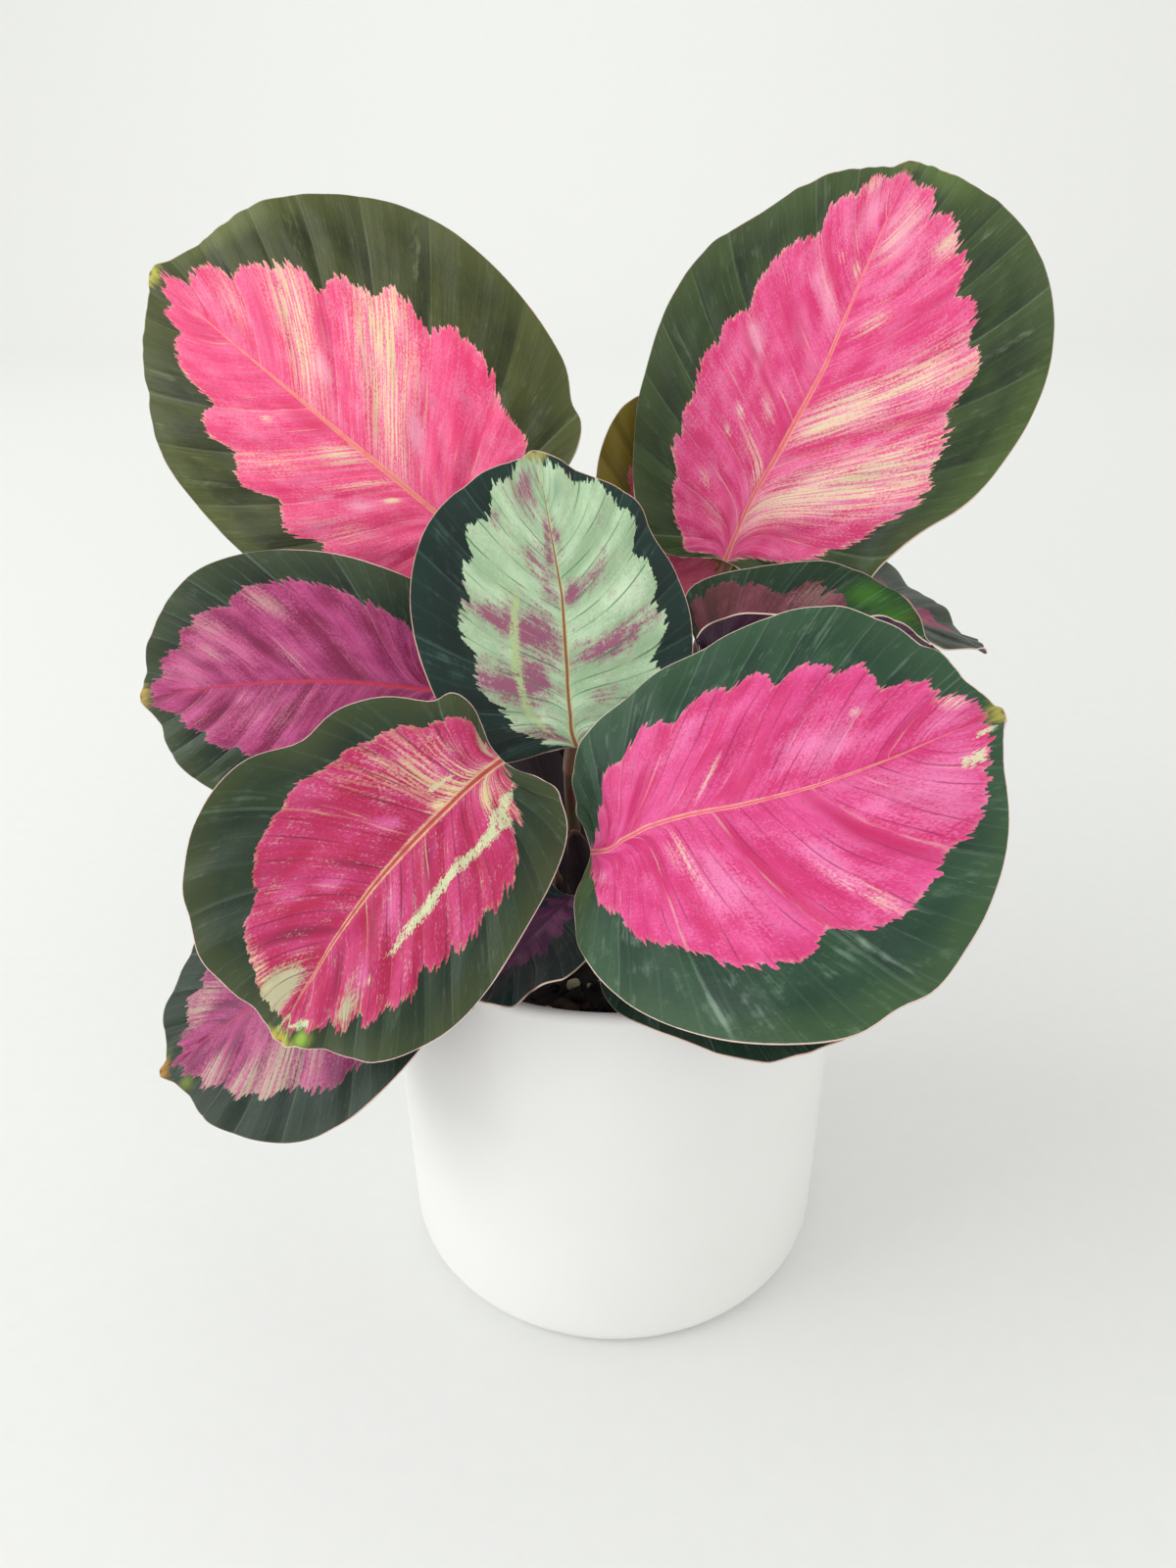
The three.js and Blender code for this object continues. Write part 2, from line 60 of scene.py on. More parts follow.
CAMERA_PLACE = (-8.6, -363.4, 374.5)
CAMERA_DIP = 27.3  # degrees below level
CAMERA_ROLL = -0.6
CAMERA_LENS = 27.09  # on a 36 mm long side

bpy.ops.object.camera_add(
    location=[v * MM for v in CAMERA_PLACE],
    rotation=(math.radians(90 - CAMERA_DIP), 0, 0),
)
camera = bpy.context.object
camera.rotation_euler.rotate_axis("Z", math.radians(CAMERA_ROLL))
camera.data.sensor_width = 36
camera.data.lens = CAMERA_LENS
camera.data.clip_start = 0.01
camera.data.clip_end = 50
bpy.context.scene.camera = camera


# ---- the white pot -------------------------------------------------------------------------
# A plain straight-sided cover pot of white earthenware, cast in a mould and dipped in a white
# satin glaze. It has a rounded foot, a soft lip and no hole. The glaze stops short of the foot
# ring, where the bare clay shows.

POT_PROFILE = [  # radius, height: recess under the foot, foot ring, wall, lip, inside, floor
    (64, 1.2), (66, 0.9), (67, 0.2), (68, 0), (72, 0), (74.4, 0.35), (76.6, 1.3), (78.4, 3),
    (79.5, 5), (80.1, 8), (80.6, 40), (81, 75), (81.5, 110), (82, 146.8), (81.7, 148.4),
    (80.9, 149.5), (79.8, 150), (78.7, 149.8), (77.7, 149), (77.1, 147.6), (76.8, 110),
    (76.2, 60), (75.3, 16), (74.4, 11), (72, 7.8), (68.5, 6.3), (65, 6), (40, 6),
]
POT_AROUND = 160


def linear(colour):
    """An sRGB hex colour as Blender's linear red, green, blue and alpha."""
    parts = [int(colour[i:i + 2], 16) / 255 for i in (1, 3, 5)]
    return [p / 12.92 if p < 0.04045 else ((p + 0.055) / 1.055) ** 2.4 for p in parts] + [1.0]


def add(tree, kind, *values, **settings):
    """Adds one node. Inputs come in their order, or by name in a dict: numbers, colours or nodes."""
    made = tree.nodes.new("ShaderNode" + kind)
    for name, value in settings.items():
        setattr(made, name, value)
    sockets = [s for s in made.inputs if s.enabled]
    given = []
    for i, value in enumerate(values):
        if isinstance(value, dict):
            given += [(next(s for s in sockets if s.name == k), v) for k, v in value.items()]
        else:
            given.append((sockets[i], value))
    for socket, value in given:
        if isinstance(value, bpy.types.Node):
            value = next(s for s in value.outputs if s.enabled)
        if isinstance(value, bpy.types.NodeSocket):
            tree.links.new(value, socket)
        else:
            socket.default_value = linear(value) if isinstance(value, str) else value
    return made


def finish_of(name):
    """A new material with an empty node tree."""
    material = bpy.data.materials.new(name)
    material.use_nodes = True
    material.node_tree.nodes.clear()
    return material


def only(piece):
    """Selects one piece and nothing else."""
    bpy.ops.object.select_all(action="DESELECT")
    piece.select_set(True)
    bpy.context.view_layer.objects.active = piece


def turned(name, profile, around):
    """A closed round shell: a disc raised ring by ring through (radius, height) pairs."""
    radius, height = profile[0]
    bpy.ops.object.select_all(action="DESELECT")
    bpy.ops.mesh.primitive_circle_add(
        vertices=around, radius=radius * MM, fill_type="NGON", location=(0, 0, height * MM),
    )
    shell = bpy.context.object
    shell.name = shell.data.name = name
    bpy.ops.object.mode_set(mode="EDIT")
    bpy.ops.mesh.select_all(action="SELECT")
    for next_radius, next_height in profile[1:]:
        rise = (0, 0, (next_height - height) * MM)
        spread = next_radius / radius
        bpy.ops.mesh.extrude_region_move(TRANSFORM_OT_translate={"value": rise})
        bpy.ops.transform.resize(value=(spread, spread, 1))
        radius, height = next_radius, next_height
    bpy.ops.mesh.select_all(action="SELECT")
    bpy.ops.mesh.normals_make_consistent(inside=False)
    bpy.ops.object.mode_set(mode="OBJECT")
    return shell


def stand(piece, slot, *nodes):
    """Puts the piece's place into its mesh, rides it on the plant and hides the parts that it stands
    for.
    """
    only(piece)
    bpy.ops.object.transform_apply(location=True, rotation=True, scale=True)
    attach(piece, "root")
    if nodes:
        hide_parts(*nodes)


cachepot = turned("white_pot", POT_PROFILE, POT_AROUND)
bpy.ops.object.shade_smooth_by_angle(angle=math.radians(40))

# Satin white glaze over earthenware: a soft broad highlight, a faintly uneven skin from dipping,
# and a warm matt ring of bare clay under the foot.
glaze = finish_of("satin_white_glaze")
tree = glaze.node_tree
place = add(tree, "TexCoord").outputs["Object"]
clouds = add(tree, "TexNoise", {"Vector": place, "Scale": 1 / 0.03, "Detail": 2.0})
ripple = add(tree, "TexNoise", {"Vector": place, "Scale": 1 / 0.009, "Detail": 3.0})
height_of = add(tree, "SeparateXYZ", place).outputs["Z"]
bare = add(tree, "MapRange", {
    "Value": height_of, "From Min": 0.0008, "From Max": 0.0002, "To Min": 0.0, "To Max": 1.0,
})
tone = add(tree, "Mix", clouds, "#F2F1EF", "#F7F6F4", data_type="RGBA")
body = add(tree, "Mix", bare, tone, "#D9CDBB", data_type="RGBA")
gloss = add(tree, "MapRange", {
    "Value": clouds, "From Min": 0.3, "From Max": 0.7, "To Min": 0.3, "To Max": 0.38,
})
dull = add(tree, "Mix", bare, gloss, 0.9)
skin = add(tree, "Bump", {"Height": ripple, "Strength": 0.12, "Distance": 0.0002})
shader = add(tree, "BsdfPrincipled", {
    "Base Color": body, "Roughness": dull, "IOR": 1.52, "Normal": skin,
})
add(tree, "OutputMaterial", {"Surface": shader})
cachepot.data.materials.append(glaze)
stand(cachepot, "white_glaze", "cachepot")


# ---- the nursery pot -----------------------------------------------------------------------
# The thin black growing pot that stands inside the white one: injection-moulded plastic with a
# turned-out collar round its mouth, a rolled rim, and six drain holes in its floor.

NURSERY_PROFILE = [
    (52, 6.3), (55.2, 6.3), (56, 6.9), (57, 12), (65, 70), (73.6, 133.6), (74.2, 134), (76, 134.7),
    (76.3, 135.4), (76.3, 141.9), (76.1, 142.6), (75.6, 143), (74.6, 143.1), (73.9, 142.7),
    (73.5, 141.8), (72.6, 134), (64, 72), (55.6, 12.5), (54.6, 8.2), (53.6, 7.6), (50, 7.6),
]
NURSERY_AROUND = 144
DRAIN_HOLES = 6
DRAIN_CIRCLE = 38
DRAIN_RADIUS = 5
DRILL_MIDDLE = 7  # each hole is drilled from 5 mm above this height to 5 mm below it
DRILL_DEPTH = 10

nursery = turned("growing_pot", NURSERY_PROFILE, NURSERY_AROUND)
bpy.ops.object.transform_apply(location=True)
drills = []
for i in range(DRAIN_HOLES):
    angle = 2 * math.pi * i / DRAIN_HOLES
    x, y = DRAIN_CIRCLE * math.cos(angle), DRAIN_CIRCLE * math.sin(angle)
    bpy.ops.mesh.primitive_cylinder_add(
        vertices=24, radius=DRAIN_RADIUS * MM, depth=DRILL_DEPTH * MM,
        location=(x * MM, y * MM, DRILL_MIDDLE * MM),
    )
    drills.append(bpy.context.object)
for drill in drills:
    drill.select_set(True)
bpy.ops.object.join()
drill = bpy.context.object
cut = nursery.modifiers.new("drain_holes", "BOOLEAN")
cut.operation = "DIFFERENCE"
cut.object = drill
only(nursery)
bpy.ops.object.modifier_apply(modifier=cut.name)
bpy.data.objects.remove(drill)
bpy.ops.object.shade_smooth_by_angle(angle=math.radians(40))

# Black polypropylene: near black with a low sheen, a fine pebbled mould grain, and patches of grey dust.
plastic = finish_of("black_polypropylene")
tree = plastic.node_tree
place = add(tree, "TexCoord").outputs["Object"]
grain = add(tree, "TexNoise", {"Vector": place, "Scale": 1 / 0.0012, "Detail": 2.0})
dust = add(tree, "TexNoise", {"Vector": place, "Scale": 1 / 0.006, "Detail": 6.0})
dusty = add(tree, "MapRange", {"Value": dust, "From Min": 0.45, "From Max": 0.8, "To Max": 0.35})
tone = add(tree, "Mix", dusty, "#17171A", "#4A443C", data_type="RGBA")
dull = add(tree, "MapRange", {
    "Value": dust, "From Min": 0.3, "From Max": 0.7, "To Min": 0.36, "To Max": 0.6,
})
pebble = add(tree, "Bump", {"Height": grain, "Strength": 0.25, "Distance": 0.0001})
shader = add(tree, "BsdfPrincipled", {
    "Base Color": tone, "Roughness": dull, "IOR": 1.49, "Normal": pebble,
})
add(tree, "OutputMaterial", {"Surface": shader})
nursery.data.materials.clear()
nursery.data.materials.append(plastic)
stand(nursery, "black_plastic", "nursery_pot")


# ---- the soil ------------------------------------------------------------------------------
# Peat-based houseplant mix, watered and settled to a low mound: dark crumbs, a few flat chips of
# bark, and the pale expanded beads of perlite that float up as it is watered.

SOIL_LEVEL = 134
SOIL_MOUND = 2.5
SOIL_RADIUS = 72.2
SOIL_FOOT = 54.4
SOIL_FLOOR = 7.9
SOIL_CELLS = 170
SOIL_RIM = 4  # how far in from the nursery pot's wall the soil lies level
GRAIN_FIELD = 66  # no bead or chip lies further out than this
CRUMB_FIELD = 69
STALK_ROOM = 4  # how near to a stalk's middle a grain may reach
FRONT_BEADS = [(-14, -47, 2.6), (-14, -36, 2.2), (-9, -33, 1.6), (-5, -46, 1.5)]
STALK_ROOTS = [
    (-9, 12), (10, 14), (-4, -6), (-17, 4), (-16, -11), (8, -15), (-25, -4), (16, 3), (21, 16),
    (2, 23), (14, -24), (-9, -22),
]


def soil_height(x, y):
    """The top of the soil, in mm: a low mound with lumps, and crumbs of 5.5, 2.1 and 1.1 mm."""
    share = math.hypot(x, y) / SOIL_RADIUS
    lumps = math.sin(0.23 * x + 1.3) * math.cos(0.19 * y - 0.4) + 0.5 * math.sin(0.41 * x - 0.37 * y)
    z = SOIL_LEVEL + SOIL_MOUND * (1 - share * share) + 0.8 * lumps
    at = Vector((x, y, 0))
    z += 1.3 * abs(noise.noise(at / 5.5)) - 0.3 + 0.7 * abs(noise.noise(at / 2.1 + Vector((7, 3, 1))))
    return z + 0.3 * noise.noise(at / 1.1)


bpy.ops.object.select_all(action="DESELECT")
bpy.ops.mesh.primitive_grid_add(
    x_subdivisions=SOIL_CELLS, y_subdivisions=SOIL_CELLS, size=2 * (SOIL_RADIUS + 2) * MM,
    location=(0, 0, SOIL_LEVEL * MM),
)
soil = bpy.context.object
soil.name = soil.data.name = "potting_soil"
bpy.ops.object.transform_apply(location=True)
bpy.ops.object.mode_set(mode="EDIT")
bpy.ops.mesh.select_mode(type="VERT")
bpy.ops.mesh.select_all(action="DESELECT")
bpy.ops.object.mode_set(mode="OBJECT")
for v in soil.data.vertices:
    v.select = math.hypot(v.co.x, v.co.y) > SOIL_RADIUS * MM
bpy.ops.object.mode_set(mode="EDIT")
bpy.ops.mesh.delete(type="VERT")
bpy.ops.mesh.select_all(action="DESELECT")
bpy.ops.mesh.select_non_manifold()
bpy.ops.object.mode_set(mode="OBJECT")
for v in soil.data.vertices:
    if v.select:
        v.co.xy = v.co.xy.normalized() * SOIL_RADIUS * MM
bpy.ops.object.mode_set(mode="EDIT")
bpy.ops.mesh.extrude_region_move(
    TRANSFORM_OT_translate={"value": (0, 0, (SOIL_FLOOR - SOIL_LEVEL) * MM)},
)
foot_share = SOIL_FOOT / SOIL_RADIUS
bpy.ops.transform.resize(value=(foot_share, foot_share, 1), center_override=(0, 0, 0))
bpy.ops.mesh.edge_face_add()
bpy.ops.mesh.select_all(action="SELECT")
bpy.ops.mesh.normals_make_consistent(inside=False)
bpy.ops.object.mode_set(mode="OBJECT")
for v in soil.data.vertices:
    x, y = v.co.x / MM, v.co.y / MM
    if v.co.z > (SOIL_LEVEL - 1) * MM:
        rim = min(1, max(0, (SOIL_RADIUS - math.hypot(x, y)) / SOIL_RIM))
        v.co.z = (SOIL_LEVEL * (1 - rim) + soil_height(x, y) * rim) * MM
bpy.ops.object.shade_smooth()

# Damp peat: very dark brown, dull, with painted shade in its hollows and paler brown fibres about 0.3 mm
# wide.
peat = finish_of("damp_peat_mix")
tree = peat.node_tree
place = add(tree, "TexCoord").outputs["Object"]
lumps = add(tree, "TexNoise", {"Vector": place, "Scale": 1 / 0.003, "Detail": 5.0})
fibres = add(tree, "TexNoise", {
    "Vector": place, "Scale": 1 / 0.0012, "Detail": 3.0, "Distortion": 2.5,
})
# Painted shade: the same lumps that raise the bump set the tone, black in the hollows.
lit = add(tree, "MapRange", lumps, 0.35, 0.7)
tone = add(tree, "Mix", lit, "#0D0B0B", "#231A15", data_type="RGBA")
flecks = add(tree, "MapRange", {"Value": fibres, "From Min": 0.62, "From Max": 0.7, "To Max": 0.6})
mix = add(tree, "Mix", flecks, tone, "#4A3929", data_type="RGBA")
crumb = add(tree, "Bump", {"Height": lumps, "Strength": 0.7, "Distance": 0.0006})
shader = add(tree, "BsdfPrincipled", {
    "Base Color": mix, "Roughness": 0.88, "Normal": crumb,
})
add(tree, "OutputMaterial", {"Surface": shader})
soil.data.materials.append(peat)
stand(soil, "potting_mix", "soil")

# Expanded perlite: a chalky off-white bead, stained beige and olive by the peat, full of pores.
perlite = finish_of("stained_perlite")
tree = perlite.node_tree
place = add(tree, "TexCoord").outputs["Object"]
pores = add(tree, "TexNoise", {"Vector": place, "Scale": 1 / 0.0009, "Detail": 3.0})
tone = add(tree, "Mix", pores, "#8E8455", "#E6DFC4", data_type="RGBA")
shader = add(tree, "BsdfPrincipled", {
    "Base Color": tone, "Roughness": 0.8,
    "Normal": add(tree, "Bump", {"Height": pores, "Strength": 0.6, "Distance": 0.0003}),
})
add(tree, "OutputMaterial", {"Surface": shader})

# Composted pine bark: reddish-brown flakes with a dull, layered face.
bark = finish_of("composted_bark")
tree = bark.node_tree
place = add(tree, "TexCoord").outputs["Object"]
layers = add(tree, "TexNoise", {"Vector": place, "Scale": 1 / 0.0015, "Detail": 4.0})
tone = add(tree, "Mix", layers, "#1C130E", "#513727", data_type="RGBA")
shader = add(tree, "BsdfPrincipled", {
    "Base Color": tone, "Roughness": 0.85,
    "Normal": add(tree, "Bump", {"Height": layers, "Strength": 0.6, "Distance": 0.0004}),
})
add(tree, "OutputMaterial", {"Surface": shader})

draw = np.random.default_rng(11)


def strew(name, material, places, flat, roughness):
    """Copies of one rough pebble at (x, y, radius) places, half sunk, joined into one piece."""
    bpy.ops.object.select_all(action="DESELECT")
    bpy.ops.mesh.primitive_ico_sphere_add(subdivisions=2, radius=1)
    pebble = bpy.context.object
    copies = []
    for x, y, radius in places:
        copy = pebble.copy()
        copy.data = pebble.data.copy()
        bpy.context.collection.objects.link(copy)
        shift = Vector(draw.uniform(-50, 50, 3))
        for v in copy.data.vertices:
            v.co *= 1 + roughness * noise.noise(v.co * 1.4 + shift)
        turn = Matrix.Rotation(draw.uniform(0, 6.28), 4, "Z")
        turn = turn @ Matrix.Rotation(draw.uniform(-0.5, 0.5), 4, "X")
        shape = Matrix.Diagonal((radius, radius * draw.uniform(0.65, 1), radius * flat, 1))
        z = soil_height(x, y) + 0.25 * radius * flat
        copy.data.transform(Matrix.Scale(MM, 4) @ Matrix.Translation((x, y, z)) @ turn @ shape)
        copies.append(copy)
    bpy.data.objects.remove(pebble)
    only(copies[0])
    for copy in copies:
        copy.select_set(True)
    bpy.ops.object.join()
    joined = bpy.context.object
    joined.name = joined.data.name = name
    bpy.ops.object.shade_smooth()
    joined.data.materials.append(material)
    stand(joined, "potting_mix")


def scattered(count, smallest, largest, field):
    """Places on the soil, clear of the stalks, with more small grains than large ones."""
    places = []
    while len(places) < count:
        angle, distance = draw.uniform(0, 2 * math.pi), field * math.sqrt(draw.uniform())
        x, y = distance * math.cos(angle), distance * math.sin(angle)
        radius = smallest + (largest - smallest) * draw.uniform() ** 2.5
        if all(math.hypot(x - a, y - b) > STALK_ROOM + radius for a, b in STALK_ROOTS):
            places.append((x, y, radius))
    return places


strew("soil_crumbs", peat, scattered(420, 0.7, 3.2, CRUMB_FIELD), 0.8, 0.6)
strew("perlite_beads", perlite, FRONT_BEADS + scattered(46, 0.8, 2.5, GRAIN_FIELD), 0.9, 0.25)
strew("bark_chips", bark, scattered(38, 1.6, 4.6, GRAIN_FIELD), 0.35, 0.5)


# ---- the stalks ----------------------------------------------------------------------------
# Each leaf stands on its own stalk: a clasping sheath at the soil, a slim reddish stem, and under
# the blade a swollen joint, about 14 mm long, with which the plant lifts its leaves at night.

LEAVES = {  # as in the part's source: places in mm, angles in degrees
    "back_left": dict(
        base=(-44, 50, 254), azimuth=153, rise=32, roll=-68, length=165, arch=5, phase=0.4,
        root=(-9, 12), lift=20,
        left=dict(width=59, egg=-0.05, crest=0, fold=3, edge=3),
        right=dict(width=74, egg=-0.08, crest=-0.08, fold=6, edge=-5),
    ),
    "back_right": dict(
        base=(43, 62, 247), azimuth=33, rise=61, roll=38, length=156, arch=13, phase=2.1,
        sweep=-0.01, twist=-18, root=(10, 14), lift=20,
        left=dict(width=54, egg=0.2, crest=-0.2, fold=5, edge=1, tip=0.02),
        right=dict(width=67, egg=0.2, crest=-0.15, fold=8, edge=2, tip=0.02, curl=(0.05, 0.15, 130)),
    ),
    "centre": dict(
        base=(-12, -27, 214), azimuth=99, rise=57, roll=8, length=101, arch=18, phase=1.2,
        sweep=-0.01, root=(-4, -6), lift=50,
        left=dict(width=45, egg=-0.05, crest=-0.1, fold=4, edge=2),
        right=dict(width=40, egg=-0.05, crest=-0.05, fold=6, edge=-2),
    ),
    "left": dict(
        base=(-60, 25, 212), azimuth=172, rise=-5, roll=-78, length=120, arch=13, phase=3.3,
        sweep=-0.03, root=(-17, 4), lift=20,
        left=dict(width=48, egg=0, crest=0, fold=5, edge=3),
        right=dict(width=49, egg=0, crest=0, fold=6, edge=3),
    ),
    "front_left": dict(
        base=(-34, -48, 220), azimuth=223, rise=-14, roll=-19, length=108, arch=62, phase=5.0,
        twist=-6, root=(-16, -11), lift=55,
        left=dict(width=42, egg=0.1, crest=-0.1, fold=-1, edge=-10),
        right=dict(width=47, egg=0.25, crest=-0.1, fold=18, edge=16),
    ),
    "front_right": dict(
        base=(-8, -63, 197), azimuth=-25, rise=41, roll=48, length=120, arch=47, phase=0.9,
        sweep=-0.06, root=(8, -15), lift=35,
        left=dict(width=49, egg=0.2, crest=-0.1, fold=-2, edge=2),
        right=dict(width=61, egg=0.2, crest=-0.2, fold=20, edge=7),
    ),
    "low_left": dict(
        base=(-66, -39, 168), azimuth=195, rise=-27, roll=-28, length=103, arch=16, phase=4.1,
        sweep=0.02, root=(-25, -4), lift=50,
        left=dict(width=46, egg=0, crest=-0.15, fold=5, edge=-6),
        right=dict(width=37, egg=0, crest=-0.05, fold=2, edge=5),
    ),
    "folded_right": dict(
        base=(29, 9, 230), azimuth=6, rise=0, roll=13, length=82, arch=6, phase=2.7,
        root=(16, 3), lift=35,
        left=dict(width=34, egg=0, crest=0, fold=39, edge=31),
        right=dict(width=27, egg=0, crest=0, fold=69, edge=54),
    ),
    "far_right": dict(
        base=(68, 79, 233), azimuth=20, rise=-15, roll=15, length=99, arch=13, phase=1.8,
        twist=-5, root=(21, 16), lift=45,
        left=dict(width=40, egg=0, crest=0, fold=9, edge=11),
        right=dict(width=39, egg=0, crest=0, fold=11, edge=7),
    ),
    "back_centre": dict(
        base=(23, 79, 224), azimuth=90, rise=75, roll=0, length=83, arch=11, phase=3.9,
        root=(2, 23), lift=15,
        left=dict(width=28, egg=0, crest=0, fold=6, edge=4),
        right=dict(width=34, egg=0, crest=0, fold=6, edge=4),
    ),
    "low_right": dict(
        base=(7, -54, 161), azimuth=-34, rise=9, roll=23, length=77, arch=13, phase=0.2,
        root=(14, -24), lift=45,
        left=dict(width=30, egg=0, crest=0, fold=6, edge=4),
        right=dict(width=33, egg=0, crest=0, fold=6, edge=2),
    ),
    "low_front": dict(
        base=(-14, -37, 165), azimuth=239, rise=1, roll=6, length=58, arch=12, phase=5.6,
        root=(-9, -22), lift=60,
        left=dict(width=23, egg=0, crest=0, fold=5, edge=3),
        right=dict(width=20, egg=0, crest=0, fold=6, edge=4),
    ),
}
STALK_DEPTH = 12
STALK_LEAN = 0.25  # how far a stalk leans as it leaves the soil, as a slope
STALK_FOOT = 0.45  # over what share of its height it bends near the soil
STALK_HEAD = 0.35  # and near the blade
STALK_REACH = 2.5  # how far under the blade it reaches
BLADE_ROOM = 2.4  # from the blade's face down to the joint
SHEATH_RADIUS = 3.3
STEM_RADIUS = 1.9
JOINT_RADIUS = 2.3
JOINT_LENGTH = 14
STALK_RINGS = 64
SHEATH_FOOT = 0.12  # where a sheath begins and ends, as shares of its stalk
SHEATH_TOP = 0.42
SHEATH_WALL = 0.35
# The broad sheaths are dark sheets in the deep shade at the middle of the plant: partly sheath, partly
# painted shade.
BROAD_SHADE_SHEATHS = {"left": (0.94, 14), "back_left": (0.72, 15), "centre": (0.6, 8)}  # top, half width


def axes_of(leaf):
    """A blade's directions at its base: along the midrib, to its left, out of its upper face."""
    a, e, r = (math.radians(leaf[k]) for k in ("azimuth", "rise", "roll"))
    along = np.array([math.cos(e) * math.cos(a), math.cos(e) * math.sin(a), math.sin(e)])
    level = np.array([-math.sin(a), math.cos(a), 0])
    up = np.cross(along, level)
    return along, level * math.cos(r) + up * math.sin(r), up * math.cos(r) - level * math.sin(r)


def smooth(value, start, end):
    """0 before start, 1 after end, and a soft step between them."""
    share = np.clip((value - start) / (end - start), 0, 1)
    return share * share * (3 - 2 * share)


def stalk_path(leaf):
    """The stalk's middle line from the soil to the blade, as evenly spaced points in mm."""
    along, _, face = axes_of(leaf)
    lift = math.radians(leaf["lift"])
    arrive = along * math.cos(lift) + face * math.sin(lift)
    below = BLADE_ROOM + JOINT_RADIUS * math.cos(lift)
    end = np.array(leaf["base"]) + along * STALK_REACH - face * below
    start = np.array([*leaf["root"], SOIL_LEVEL - STALK_DEPTH])
    distance = np.linalg.norm(end - start)
    leave = np.array([end[0] - start[0], end[1] - start[1], 0])
    leave = leave / np.linalg.norm(leave) * STALK_LEAN + np.array([0, 0, 1])
    leave /= np.linalg.norm(leave)
    handles = [
        start, start + leave * STALK_FOOT * distance, end - arrive * STALK_HEAD * distance, end,
    ]
    t = np.linspace(0, 1, 400)[:, None]
    weights = [(1 - t) ** 3, 3 * (1 - t) ** 2 * t, 3 * (1 - t) * t * t, t ** 3]
    curve = sum(w * h for w, h in zip(weights, handles))
    curve = np.vstack([curve, end + along * 3.5 + face * 0.8])
    far = np.concatenate([[0], np.cumsum(np.linalg.norm(np.diff(curve, axis=0), axis=1))])
    steps = np.linspace(0, far[-1], STALK_RINGS)
    return np.column_stack([np.interp(steps, far, curve[:, k]) for k in range(3)]), far[-1]


# Living leaf stalk: olive green flushed reddish brown, with fine lengthwise ribs, a paler
# greenish-brown joint, and a dry straw-coloured edge on the sheath.
stem_skin = finish_of("leaf_stalk_skin")
tree = stem_skin.node_tree
along_stem = add(tree, "Attribute", attribute_name="stem").outputs["Vector"]
parts = add(tree, "SeparateXYZ", along_stem)
ribs = add(tree, "TexNoise", {
    "Vector": add(tree, "Mapping", {"Vector": along_stem, "Scale": (0.06, 2.4, 1)}),
    "Scale": 1.0, "Detail": 3.0,
})
blush = add(tree, "TexNoise", {
    "Vector": add(tree, "Mapping", {"Vector": along_stem, "Scale": (0.12, 0.4, 1)}),
    "Scale": 1.0, "Detail": 4.0,
})
red = add(tree, "MapRange", {"Value": blush, "From Min": 0.38, "From Max": 0.62})
stem_tone = add(tree, "Mix", red, "#4E4A28", "#5C2A26", data_type="RGBA")
joint_tone = add(tree, "Mix", red, "#6E6A3E", "#8C4B48", data_type="RGBA")
tone = add(tree, "Mix", parts.outputs["Z"], stem_tone, joint_tone, data_type="RGBA")
streaks = add(tree, "MapRange", ribs, 0.35, 0.65, 0.72, 1.15)
tone = add(tree, "Mix", 1.0, tone, streaks, data_type="RGBA", blend_type="MULTIPLY")
shader = add(tree, "BsdfPrincipled", {
    "Base Color": tone, "Roughness": 0.48,
    "Normal": add(tree, "Bump", {"Height": ribs, "Strength": 0.6, "Distance": 0.0003}),
})
add(tree, "OutputMaterial", {"Surface": shader})

# Sheath skin: thin and papery, dark plum going to straw brown at the torn edge.
sheath_skin = finish_of("papery_sheath_skin")
tree = sheath_skin.node_tree
along_stem = add(tree, "Attribute", attribute_name="stem").outputs["Vector"]
parts = add(tree, "SeparateXYZ", along_stem)
ribs = add(tree, "TexNoise", {
    "Vector": add(tree, "Mapping", {"Vector": along_stem, "Scale": (0.05, 1.8, 1)}),
    "Scale": 1.0, "Detail": 4.0,
})
tone = add(tree, "Mix", parts.outputs["Z"], "#2B1620", "#8A6A50", data_type="RGBA")
streaks = add(tree, "MapRange", ribs, 0.35, 0.65, 0.55, 1.2)
tone = add(tree, "Mix", 1.0, tone, streaks, data_type="RGBA", blend_type="MULTIPLY")
shader = add(tree, "BsdfPrincipled", {
    "Base Color": tone, "Roughness": 0.7,
    "Normal": add(tree, "Bump", {"Height": ribs, "Strength": 0.8, "Distance": 0.0003}),
})
add(tree, "OutputMaterial", {"Surface": shader})


def give_vectors(mesh, name, values):
    """Stores three numbers for each vertex, for the materials to read."""
    layer = mesh.attributes.new(name, "FLOAT_VECTOR", "POINT")
    layer.data.foreach_set("vector", np.ascontiguousarray(values, dtype=np.float32).ravel())


def grid_of(name, rows, columns):
    """A flat grid that spans 0 to 1 in x and -1 to 1 in y; returns it with both as arrays."""
    bpy.ops.object.select_all(action="DESELECT")
    bpy.ops.mesh.primitive_grid_add(x_subdivisions=rows, y_subdivisions=columns, size=2)
    sheet = bpy.context.object
    sheet.name = sheet.data.name = name
    flat = np.zeros(len(sheet.data.vertices) * 3)
    sheet.data.vertices.foreach_get("co", flat)
    flat = flat.reshape(-1, 3)
    return sheet, (flat[:, 0] + 1) / 2, flat[:, 1]


def shape_to(mesh, points):
    """Moves the vertices to points in mm."""
    mesh.vertices.foreach_set("co", (points * MM).ravel())
    mesh.update()


